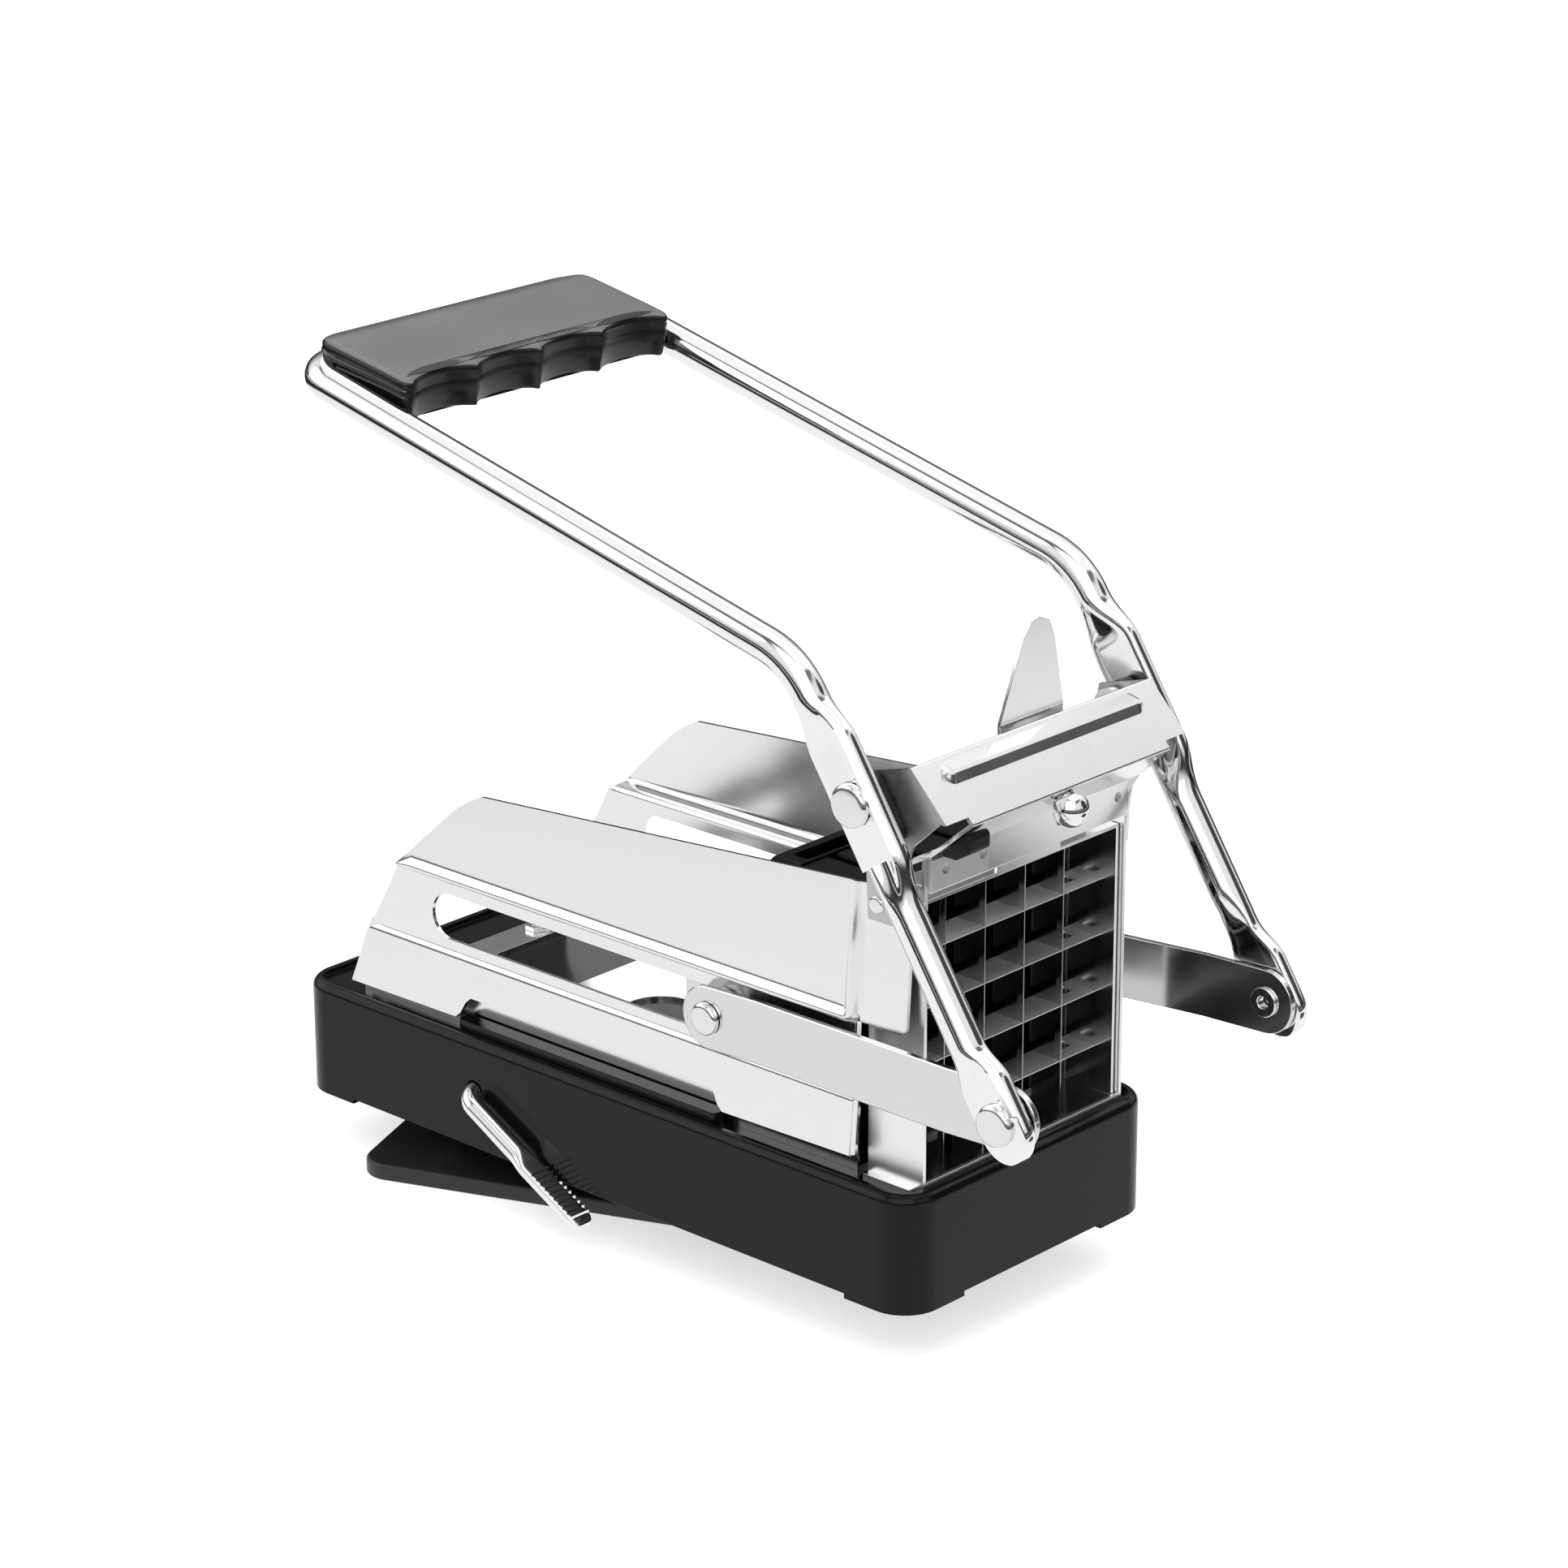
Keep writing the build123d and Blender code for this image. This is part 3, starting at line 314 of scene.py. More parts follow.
class Finish(Enum):
    """The finishes of the chipper."""

    FRAME_SHEET = PlatedSteel("frame_sheet", 0.92, 0.27, 0.08, (0.15, 1.0, 6.0), 0.16)
    BODY_SHEET = PlatedSteel("body_sheet", 0.84, 0.13, 0.07, (0.15, 1.0, 6.0), 0.18)
    ROD_CHROME = PlatedSteel("rod_chrome", 0.88, 0.06, 0.05, (1.0, 1.0, 1.0), 0.05)
    LINK_STEEL = PlatedSteel("link_steel", 0.72, 0.14, 0.07, (0.1, 1.0, 5.0), 0.14)
    RIVET_STEEL = PlatedSteel("rivet_steel", 0.80, 0.12, 0.08, (1.0, 1.0, 1.0), 0.10)
    CHEEK_ZINC = PlatedSteel("cheek_zinc", 0.62, 0.30, 0.22, (1.0, 1.0, 1.0), 0.30, 0.5)
    BLADE_UPRIGHT = PlatedSteel("blade_upright", 0.55, 0.12, 0.05, (1.0, 1.0, 8.0), 0.10)
    # Paler than the upright blades: this level is painted light on the lit tops of the horizontal blades.
    BLADE_STEEL_PAINTED_LIGHT = PlatedSteel("blade_steel", 0.90, 0.48, 0.10, (8.0, 1.0, 1.0), 0.10)
    BASE_GLOSS = MouldedPlastic("base_gloss", 0.005, 0.14, 0.03, 0.05, 0.20)
    GRIP_SATIN = MouldedPlastic("grip_satin", 0.006, 0.24, 0.04, 0.10, 0.40)
    # The paler grey of the grip's top faces is a painted sheen on the black plastic.
    GRIP_PAINTED_SHEEN = MouldedPlastic("grip_painted_sheen", 0.125, 0.30, 0.04, 0.10, 0.85)
    PUSHER_BLACK = MouldedPlastic("pusher_black", 0.003, 0.35, 0.05, 0.08, 0.10)
    SPACER_BLACK = MouldedPlastic("spacer_black", 0.006, 0.34, 0.08, 0.10, 0.25)
    PAD_RUBBER = CupRubber("pad_rubber")


class FinishShelf:
    """Makes each finish once and hands it out."""

    def __init__(self) -> None:
        """Starts with no finish made."""
        self._made: dict[Finish, bpy.types.Material] = {}

    def get(self, finish: Finish) -> bpy.types.Material:
        """The material of a finish, made on first use."""
        if finish not in self._made:
            self._made[finish] = finish.value.make()
        return self._made[finish]


SHELF = FinishShelf()


# ---------------------------------------------------------------- mesh tools
BODY_OF = {node: body for body, nodes in frame["record"]["behaviour"]["bodies"].items() for node in nodes}


def link_object(name: str, mesh: bpy.types.Mesh) -> bpy.types.Object:
    """Puts a mesh into the scene as an object.

    Args:
        name: Name of the object.
        mesh: Its mesh.

    Returns:
        The object.
    """
    obj = bpy.data.objects.new(name, mesh)
    bpy.context.scene.collection.objects.link(obj)
    return obj


def baked(obj: bpy.types.Object) -> bpy.types.Object:
    """Turns an object's modifiers into plain mesh.

    Args:
        obj: Object with modifiers.

    Returns:
        The same object, with the result as its mesh and no modifiers.
    """
    bpy.context.view_layer.update()
    graph = bpy.context.evaluated_depsgraph_get()
    mesh = bpy.data.meshes.new_from_object(obj.evaluated_get(graph), depsgraph=graph)
    obj.modifiers.clear()
    obj.data = mesh
    return obj


def smooth(mesh: bpy.types.Mesh, angle: float) -> None:
    """Shades a mesh smooth except across sharp edges.

    Args:
        mesh: The mesh.
        angle: Edges sharper than this many degrees stay sharp.
    """
    mesh.polygons.foreach_set("use_smooth", [True] * len(mesh.polygons))
    mesh.set_sharp_from_angle(angle=math.radians(angle))


def place(obj: bpy.types.Object, node: str, finish: Finish, *more_nodes: str) -> bpy.types.Object:
    """Dresses a finished piece and lets it stand for CAD nodes.

    Args:
        obj: The piece.
        node: CAD node that it stands for.
        finish: Its finish.
        more_nodes: Further nodes that it stands for.

    Returns:
        The piece.
    """
    obj.data.materials.clear()
    obj.data.materials.append(SHELF.get(finish))
    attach(obj, BODY_OF[node])
    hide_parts(node, *more_nodes)
    LOG.info("piece %s stands for %s: %d faces", obj.name, (node,) + more_nodes, len(obj.data.polygons))
    return obj


def softened(obj: bpy.types.Object, width: float, segments: int, limit: float) -> bpy.types.Object:
    """Merges an object's mesh and gives its sharp edges a small radius.

    Args:
        obj: Object with a closed mesh.
        width: Radius of the edges, millimetres.
        segments: Segments of each rounded edge.
        limit: Edges sharper than this many degrees are rounded.

    Returns:
        The same object.
    """
    mesh = obj.data
    work = bmesh.new()
    work.from_mesh(mesh)
    bmesh.ops.remove_doubles(work, verts=work.verts, dist=1e-6)
    bmesh.ops.dissolve_limit(
        work, angle_limit=math.radians(0.6), use_dissolve_boundaries=False, verts=work.verts, edges=work.edges
    )
    bmesh.ops.recalc_face_normals(work, faces=work.faces)
    work.to_mesh(mesh)
    work.free()
    bevel = obj.modifiers.new("edge", "BEVEL")
    bevel.width = width * MM
    bevel.segments = segments
    bevel.limit_method = "ANGLE"
    bevel.angle_limit = math.radians(limit)
    bevel.use_clamp_overlap = True
    smooth(mesh, 40)
    weight = obj.modifiers.new("weight", "WEIGHTED_NORMAL")
    weight.keep_sharp = True
    return baked(obj)


def joined(name: str, parts: list[bpy.types.Object]) -> bpy.types.Object:
    """Joins objects into one.

    Args:
        name: Name of the result.
        parts: Objects without modifiers; they are removed.

    Returns:
        The joined object.
    """
    work = bmesh.new()
    for part in parts:
        work.from_mesh(part.data)
        bpy.data.objects.remove(part)
    mesh = bpy.data.meshes.new(name)
    work.to_mesh(mesh)
    work.free()
    smooth(mesh, 40)
    return link_object(name, mesh)


def rounded(corners: list[tuple[float, float, float]], steps: int = 6) -> list[tuple[float, float]]:
    """Rounds a polygon's corners.

    Args:
        corners: Corner points, each with its radius.
        steps: Points in each rounded corner.

    Returns:
        The outline's points.
    """
    points = []
    for index, (x, y, radius) in enumerate(corners):
        here = Vector((x, y))
        if radius <= 0:
            points.append((x, y))
            continue
        before = (Vector(corners[index - 1][:2]) - here).normalized()
        after = (Vector(corners[(index + 1) % len(corners)][:2]) - here).normalized()
        half = before.angle(after) / 2
        middle = here + (before + after).normalized() * (radius / math.sin(half))
        start = here + before * (radius / math.tan(half)) - middle
        sweep = start.angle_signed(here + after * (radius / math.tan(half)) - middle)
        for step in range(steps + 1):
            turn = -sweep * step / steps
            points.append(
                (
                    middle.x + start.x * math.cos(turn) - start.y * math.sin(turn),
                    middle.y + start.x * math.sin(turn) + start.y * math.cos(turn),
                )
            )
    return points


def plate(
    name: str, outlines: list[list[tuple[float, float]]], low: float, high: float, axes: str = "xzy"
) -> bpy.types.Object:
    """Makes a flat plate from an outline and the holes in it.

    Args:
        name: Name of the object.
        outlines: The outer outline, then the holes, millimetres.
        low: Where the plate starts along its thickness.
        high: Where it ends.
        axes: World axes of the outline's first and second number and of the thickness.

    Returns:
        The plate.
    """
    curve = bpy.data.curves.new(name, "CURVE")
    curve.dimensions = "2D"
    curve.fill_mode = "BOTH"
    curve.extrude = (high - low) / 2
    for outline in outlines:
        spline = curve.splines.new("POLY")
        spline.points.add(len(outline) - 1)
        for point, (x, y) in zip(spline.points, outline):
            point.co = (x, y, 0, 1)
        spline.use_cyclic_u = True
    holder = bpy.data.objects.new(name, curve)
    bpy.context.scene.collection.objects.link(holder)
    bpy.context.view_layer.update()
    mesh = bpy.data.meshes.new_from_object(holder.evaluated_get(bpy.context.evaluated_depsgraph_get()))
    bpy.data.objects.remove(holder)
    where = {axis: place_index for place_index, axis in enumerate(axes)}
    work = bmesh.new()
    work.from_mesh(mesh)
    for vert in work.verts:
        flat = (vert.co.x, vert.co.y, vert.co.z + (low + high) / 2)
        vert.co = Vector((flat[where["x"]], flat[where["y"]], flat[where["z"]])) * MM
    bmesh.ops.remove_doubles(work, verts=work.verts, dist=1e-7)
    bmesh.ops.recalc_face_normals(work, faces=work.faces)
    work.to_mesh(mesh)
    work.free()
    return link_object(name, mesh)


def turned(name: str, profile: list[tuple[float, float]], steps: int = 40) -> bpy.types.Object:
    """Turns a profile about the z axis.

    Args:
        name: Name of the object.
        profile: Radius and height of each point, from the axis round to the axis, millimetres.
        steps: Points around.

    Returns:
        The closed solid of revolution.
    """
    work = bmesh.new()
    rings = []
    for radius, height in profile:
        if radius <= 0:
            rings.append([work.verts.new((0, 0, height * MM))])
            continue
        ring = []
        for step in range(steps):
            turn = 2 * math.pi * step / steps
            spot = (radius * math.cos(turn) * MM, radius * math.sin(turn) * MM, height * MM)
            ring.append(work.verts.new(spot))
        rings.append(ring)
    for low, high in zip(rings, rings[1:]):
        for step in range(steps):
            after = (step + 1) % steps
            corners = [low[step % len(low)], low[after % len(low)]]
            corners += [high[after % len(high)], high[step % len(high)]]
            unique = list(dict.fromkeys(corners))
            if len(unique) > 2:
                work.faces.new(unique)
    bmesh.ops.recalc_face_normals(work, faces=work.faces)
    mesh = bpy.data.meshes.new(name)
    work.to_mesh(mesh)
    work.free()
    smooth(mesh, 50)
    return link_object(name, mesh)


# ---------------------------------------------------------------- geometry nodes
class PieceTree:
    """A Geometry Nodes group that repeats a piece, with named inputs."""

    def __init__(self, name: str) -> None:
        """Starts the group.

        Args:
            name: Name of the group.
        """
        self.tree = bpy.data.node_groups.new(name, "GeometryNodeTree")
        self.keys: dict[str, str] = {}
        self.tree.interface.new_socket("Geometry", in_out="INPUT", socket_type="NodeSocketGeometry")
        self.tree.interface.new_socket("Geometry", in_out="OUTPUT", socket_type="NodeSocketGeometry")
        self.entry = self.tree.nodes.new("NodeGroupInput")
        self.ending = self.tree.nodes.new("NodeGroupOutput")

    def offer(self, name: str, kind: str) -> bpy.types.NodeSocket:
        """Adds a named input.

        Args:
            name: Name of the input.
            kind: Socket type.

        Returns:
            The socket inside the group.
        """
        item = self.tree.interface.new_socket(name, in_out="INPUT", socket_type=kind)
        self.keys[name] = item.identifier
        return self.entry.outputs[name]

    def node(self, kind: str, settings: dict, inputs: dict) -> bpy.types.Node:
        """Adds a node.

        Args:
            kind: Node type.
            settings: Node properties, set first.
            inputs: Values or links of the sockets.

        Returns:
            The new node.
        """
        made = self.tree.nodes.new(kind)
        for name, value in settings.items():
            setattr(made, name, value)
        for key, value in inputs.items():
            if isinstance(value, bpy.types.NodeSocket):
                self.tree.links.new(value, made.inputs[key])
            else:
                made.inputs[key].default_value = value
        return made

    def close(self, instances: bpy.types.NodeSocket) -> None:
        """Ends the group: realised instances with their material.

        Args:
            instances: The instances.
        """
        real = self.node("GeometryNodeRealizeInstances", {}, {"Geometry": instances})
        finish = self.offer("Finish", "NodeSocketMaterial")
        made = self.node("GeometryNodeSetMaterial", {}, {"Geometry": real.outputs[0], "Material": finish})
        self.tree.links.new(made.outputs[0], self.ending.inputs[0])

    def run(self, obj: bpy.types.Object, values: dict) -> bpy.types.Object:
        """Runs the group on an object and keeps the plain mesh.

        Args:
            obj: The object that carries the group.
            values: Value of each named input.

        Returns:
            The same object.
        """
        modifier = obj.modifiers.new(self.tree.name, "NODES")
        modifier.node_group = self.tree
        for name, value in values.items():
            modifier[self.keys[name]] = value
        return baked(obj)


class RowTree(PieceTree):
    """Repeats a piece along a straight row."""

    def __init__(self) -> None:
        """Builds the group."""
        super().__init__("row_of_pieces")
        count = self.offer("Count", "NodeSocketInt")
        start = self.offer("Start", "NodeSocketVector")
        pitch = self.offer("Pitch", "NodeSocketVector")
        piece = self.offer("Piece", "NodeSocketObject")
        row = {"Count": count, "Start Location": start, "Offset": pitch}
        line = self.node("GeometryNodeMeshLine", {}, row)
        shape = self.node("GeometryNodeObjectInfo", {}, {"Object": piece})
        inputs = {"Points": line.outputs[0], "Instance": shape.outputs["Geometry"]}
        copies = self.node("GeometryNodeInstanceOnPoints", {}, inputs)
        self.close(copies.outputs[0])


class SpotTree(PieceTree):
    """Puts a piece on each point of the carrying mesh, turned to its facing and spun at random about it."""

    most_spin = 6.28

    def __init__(self) -> None:
        """Builds the group."""
        super().__init__("pieces_on_spots")
        piece = self.offer("Piece", "NodeSocketObject")
        seed = self.offer("Seed", "NodeSocketInt")
        kind = {"data_type": "FLOAT_VECTOR"}
        facing = self.node("GeometryNodeInputNamedAttribute", kind, {"Name": "facing"})
        towards = {"Vector": facing.outputs["Attribute"]}
        aim = self.node("FunctionNodeAlignRotationToVector", {"axis": "Z"}, towards)
        shape = self.node("GeometryNodeObjectInfo", {}, {"Object": piece})
        copies = self.node(
            "GeometryNodeInstanceOnPoints",
            {},
            {
                "Points": self.entry.outputs["Geometry"],
                "Instance": shape.outputs["Geometry"],
                "Rotation": aim.outputs[0],
            },
        )
        limits = {"Min": (0, 0, 0), "Max": (0, 0, self.most_spin), "Seed": seed}
        spin = self.node("FunctionNodeRandomValue", kind, limits)
        turning = {"Instances": copies.outputs[0], "Rotation": spin.outputs["Value"]}
        spun = self.node("GeometryNodeRotateInstances", {}, turning)
        self.close(spun.outputs[0])


@dataclass(frozen=True)
class Rivet:
    """A turned fastener that stands on several spots."""

    node: str
    profile: tuple
    spots: tuple
    seed: int = 1
    finish: Finish = Finish.RIVET_STEEL

    def build(self, tree: SpotTree) -> bpy.types.Object:
        """Turns the rivet and puts it on its spots.

        Args:
            tree: The group that places it.

        Returns:
            The finished piece.
        """
        piece = turned(self.node + "_one", list(self.profile))
        mesh = bpy.data.meshes.new(self.node + "_spots")
        mesh.from_pydata([tuple(value * MM for value in spot[:3]) for spot in self.spots], [], [])
        facing = mesh.attributes.new("facing", "FLOAT_VECTOR", "POINT")
        for item, spot in zip(facing.data, self.spots):
            item.vector = spot[3:]
        obj = link_object(self.node + "_shape", mesh)
        tree.run(obj, {"Piece": piece, "Seed": self.seed, "Finish": SHELF.get(self.finish)})
        bpy.data.objects.remove(piece)
        smooth(obj.data, 50)
        return place(obj, self.node, self.finish)


@dataclass(frozen=True)
class EdgeBreak:
    """Gives a CAD node's sharp edges the small radius that pressing or moulding leaves."""

    node: str
    finish: Finish
    width: float = 0.25
    segments: int = 2
    limit: float = 32.0

    def build(self) -> bpy.types.Object:
        """Copies the node's mesh, merges it, rounds its edges and dresses it.

        Returns:
            The new piece.
        """
        obj = link_object(self.node + "_shape", frame["nodes"][self.node].data.copy())
        softened(obj, self.width, self.segments, self.limit)
        return place(obj, self.node, self.finish)


# ---------------------------------------------------------------- studio
@dataclass
class Studio:
    """Pale floor, soft light and the camera. Glossy rays see painted reflections of their own and not plain
    white.
    """

    location: tuple = (932.10, -976.47, 599.45)
    target: tuple = (28.97, 0.0, 121.13)
    roll: float = -0.183
    focal: float = 6039.4
    picture: float = 1932.0
    sensor: float = 36.0
    floor_height: float = -16.6
    floor_reach: float = 4000.0
    floor_level: float = 0.80
    camera_glow: float = 0.62
    soft_light: float = 0.55
    # The height bands and the three dark areas below are seen only by glossy rays: painted reflections that
    # draw dark lines and darker faces on the metal.
    height_bands: tuple = (
        (0.0, 0.85), (0.495, 0.85), (0.50, 0.03), (0.55, 0.04), (0.59, 0.70), (0.72, 0.92),
        (0.82, 0.86), (0.85, 0.80), (0.88, 0.20), (0.965, 0.12), (0.985, 0.60), (1.0, 0.60),
    )
    rear_side: tuple = (-0.68, 0.73, -0.25)
    rear_tones: tuple = ((0.0, 1.0), (0.80, 1.0), (0.90, 0.25), (1.0, 0.05))
    upper_side: tuple = (-0.2, 0.69, 0.69)
    upper_tones: tuple = ((0.0, 1.0), (0.962, 1.0), (0.978, 0.3), (1.0, 0.22))
    far_side: tuple = (0.68, 0.64, 0.36)
    far_tones: tuple = ((0.0, 1.0), (0.940, 1.0), (0.955, 0.10), (1.0, 0.06))
    # The disc and the dark patch are seen only by glossy rays: painted reflections on the floor.
    disc_scale: float = 0.25
    disc_tones: tuple = ((0.0, 1.0), (0.08, 1.0), (0.19, 0.92), (0.21, 0.03), (0.5, 0.03), (1.0, 0.03))
    painted_dark_reflection_middle: tuple = (0.40, 0.19, 0.0)
    painted_dark_reflection_tones: tuple = ((0.0, 0.07), (0.09, 0.07), (0.13, 1.0), (1.0, 1.0))
    lamps: tuple = (
        ("key", (900, -1300, 1500), 2.2, 15.0),
        ("side", (-1400, -900, 1100), 1.8, 8.0),
        ("top", (-100, 500, 1700), 2.2, 14.0),
    )
    lamp_target: tuple = (20, 0, 100)

    def build(self) -> None:
        """Makes world, floor, lamps and camera."""
        self._world()
        self._floor()
        self._lamps()
        self._camera()
        bpy.context.scene.view_settings.view_transform = "Standard"

    @staticmethod
    def _toned(graph: ShaderGraph, value: Signal, stops: tuple) -> Signal:
        """Reads a grey ramp.

        Args:
            graph: The graph to build in.
            value: Where to read the ramp.
            stops: Position and grey level of each stop.

        Returns:
            The grey level.
        """
        return graph.signal("ShaderNodeValToRGB", {"stops": stops}, {"Fac": value}, "Color")

    @staticmethod
    def _vector(graph: ShaderGraph, operation: str, first: object, second: tuple) -> Signal:
        """Measures a vector against another one.

        Args:
            graph: The graph to build in.
            operation: The Vector Math node's operation.
            first: The vector's socket.
            second: The other vector.

        Returns:
            The measure.
        """
        inputs = {0: first, 1: second}
        return graph.signal("ShaderNodeVectorMath", {"operation": operation}, inputs, "Value")

    def _world(self) -> None:
        """White to camera and transmission rays, painted reflections to glossy ones (bands with dark areas),
        grey to the rest.
        """
        world = bpy.data.worlds.new("studio")
        bpy.context.scene.world = world
        world.use_nodes = True
        graph = ShaderGraph(world.node_tree)
        paths = graph.node("ShaderNodeLightPath", {}, {}).outputs
        camera = Signal(graph, paths["Is Camera Ray"])
        glossy = Signal(graph, paths["Is Glossy Ray"])
        through = Signal(graph, paths["Is Transmission Ray"])
        direction = graph.node("ShaderNodeTexCoord", {}, {}).outputs["Generated"]
        split = graph.node("ShaderNodeSeparateXYZ", {}, {"Vector": direction}).outputs
        # Painted reflections for glossy rays: bands by height, darkened towards three directions.
        mirrored = self._toned(graph, Signal(graph, split["Z"]) * 0.5 + 0.5, self.height_bands)
        behind = self._vector(graph, "DOT_PRODUCT", direction, self.rear_side)
        mirrored = mirrored * self._toned(graph, behind * 0.5 + 0.5, self.rear_tones)
        for side, stops in ((self.upper_side, self.upper_tones), (self.far_side, self.far_tones)):
            towards = self._vector(graph, "DOT_PRODUCT", direction, side)
            mirrored = mirrored * self._toned(graph, towards, stops)
        strength = (camera + through).clipped() + glossy * mirrored * (1.0 - camera)
        soft = (1.0 - camera) * (1.0 - glossy) * (1.0 - through) * self.soft_light
        inputs = {"Color": grey(1.0), "Strength": strength + soft}
        background = graph.node("ShaderNodeBackground", {}, inputs)
        graph.node("ShaderNodeOutputWorld", {}, {"Surface": background.outputs[0]})

    def _floor(self) -> None:
        """A level plane under the suction pad; to glossy rays a painted reflection: a white disc in dark,
        with one painted dark patch.
        """
        reach = self.floor_reach * MM
        height = self.floor_height * MM
        corners = [(x * reach, y * reach, height) for x, y in ((-1, -1), (1, -1), (1, 1), (-1, 1))]
        mesh = bpy.data.meshes.new("floor")
        mesh.from_pydata(corners, [], [(0, 1, 2, 3)])
        floor = link_object("floor", mesh)
        material = bpy.data.materials.new("floor_white")
        material.use_nodes = True
        graph = ShaderGraph(material.node_tree)
        paths = graph.node("ShaderNodeLightPath", {}, {}).outputs
        camera = Signal(graph, paths["Is Camera Ray"])
        glossy = Signal(graph, paths["Is Glossy Ray"])
        place_on = graph.node("ShaderNodeTexCoord", {}, {}).outputs["Object"]
        far = graph.signal("ShaderNodeVectorMath", {"operation": "LENGTH"}, {0: place_on}, "Value")
        # Painted reflections, to glossy rays only: a white disc fading to dark and a dark patch at its own
        # middle.
        disc = self._toned(graph, far * self.disc_scale, self.disc_tones)
        aside = self._vector(graph, "DISTANCE", place_on, self.painted_dark_reflection_middle)
        painted_dark_reflection = self._toned(graph, aside, self.painted_dark_reflection_tones)
        matte = graph.node("ShaderNodeBsdfDiffuse", {}, {"Color": grey(self.floor_level)})
        inputs = {"Color": grey(1.0), "Strength": camera * self.camera_glow}
        glow = graph.node("ShaderNodeEmission", {}, inputs)
        both = graph.node("ShaderNodeAddShader", {}, {0: matte.outputs[0], 1: glow.outputs[0]})
        mirror = graph.node("ShaderNodeEmission", {}, {"Color": grey(1.0), "Strength": disc * painted_dark_reflection})
        inputs = {0: glossy * (1.0 - camera), 1: both.outputs[0], 2: mirror.outputs[0]}
        mixed = graph.node("ShaderNodeMixShader", {}, inputs)
        graph.node("ShaderNodeOutputMaterial", {}, {"Surface": mixed.outputs[0]})
        mesh.materials.append(material)

    def _lamps(self) -> None:
        """Large soft lamps above, left and right."""
        for name, where, size, power in self.lamps:
            lamp = bpy.data.lights.new(name, "AREA")
            lamp.size = size
            lamp.energy = power
            obj = bpy.data.objects.new(name, lamp)
            bpy.context.scene.collection.objects.link(obj)
            obj.location = Vector(where) * MM
            aim = Vector(self.lamp_target) * MM - obj.location
            obj.rotation_euler = aim.to_track_quat("-Z", "Y").to_euler()

    def _camera(self) -> None:
        """The camera, from its place, target, roll and focal length."""
        data = bpy.data.cameras.new("camera")
        data.sensor_width = self.sensor
        data.lens = self.focal / self.picture * self.sensor
        data.clip_start = 0.05
        data.clip_end = 20.0
        obj = bpy.data.objects.new("camera", data)
        bpy.context.scene.collection.objects.link(obj)
        where = Vector(self.location) * MM
        ahead = (Vector(self.target) * MM - where).normalized()
        level = ahead.cross(Vector((0, 0, 1))).normalized()
        upright = level.cross(ahead)
        turn = math.radians(self.roll)
        right = level * math.cos(turn) + upright * math.sin(turn)
        up = upright * math.cos(turn) - level * math.sin(turn)
        matrix = Matrix((right, up, -ahead)).transposed().to_4x4()
        matrix.translation = where
        obj.matrix_world = matrix
        bpy.context.scene.camera = obj


# ---------------------------------------------------------------- bent rods
@dataclass(frozen=True)
class Station:
    """One cross-section of a bent rod: centre, two section axes and outline, millimetres."""

    centre: Vector
    across: Vector
    outward: Vector
    outline: tuple


def mesh_from_stations(name: str, stations: list[Station]) -> bpy.types.Object:
    """Skins a closed solid over cross-sections.

    Args:
        name: Name of the object.
        stations: Cross-sections in order, all with the same number of points.

    Returns:
        The object, with its normals facing outward.
    """
    work = bmesh.new()
    rings = []
    for station in stations:
        ring = []
        for u, v in station.outline:
            point = station.centre + station.across * u + station.outward * v
            ring.append(work.verts.new(point * MM))
        rings.append(ring)
    count = len(rings[0])
    for low, high in zip(rings, rings[1:]):
        for index in range(count):
            after = (index + 1) % count
            work.faces.new((low[index], low[after], high[after], high[index]))
    work.faces.new(tuple(reversed(rings[0])))
    work.faces.new(tuple(rings[-1]))
    bmesh.ops.recalc_face_normals(work, faces=work.faces)
    mesh = bpy.data.meshes.new(name)
    work.to_mesh(mesh)
    work.free()
    return link_object(name, mesh)


def eased(value: float, start: float, end: float) -> float:
    """Goes smoothly from 0 at start to 1 at end.

    Args:
        value: Where to read it.
        start: Where it leaves 0.
        end: Where it reaches 1.

    Returns:
        The eased share.
    """
    share = min(1.0, max(0.0, (value - start) / (end - start)))
    return share * share * (3 - 2 * share)


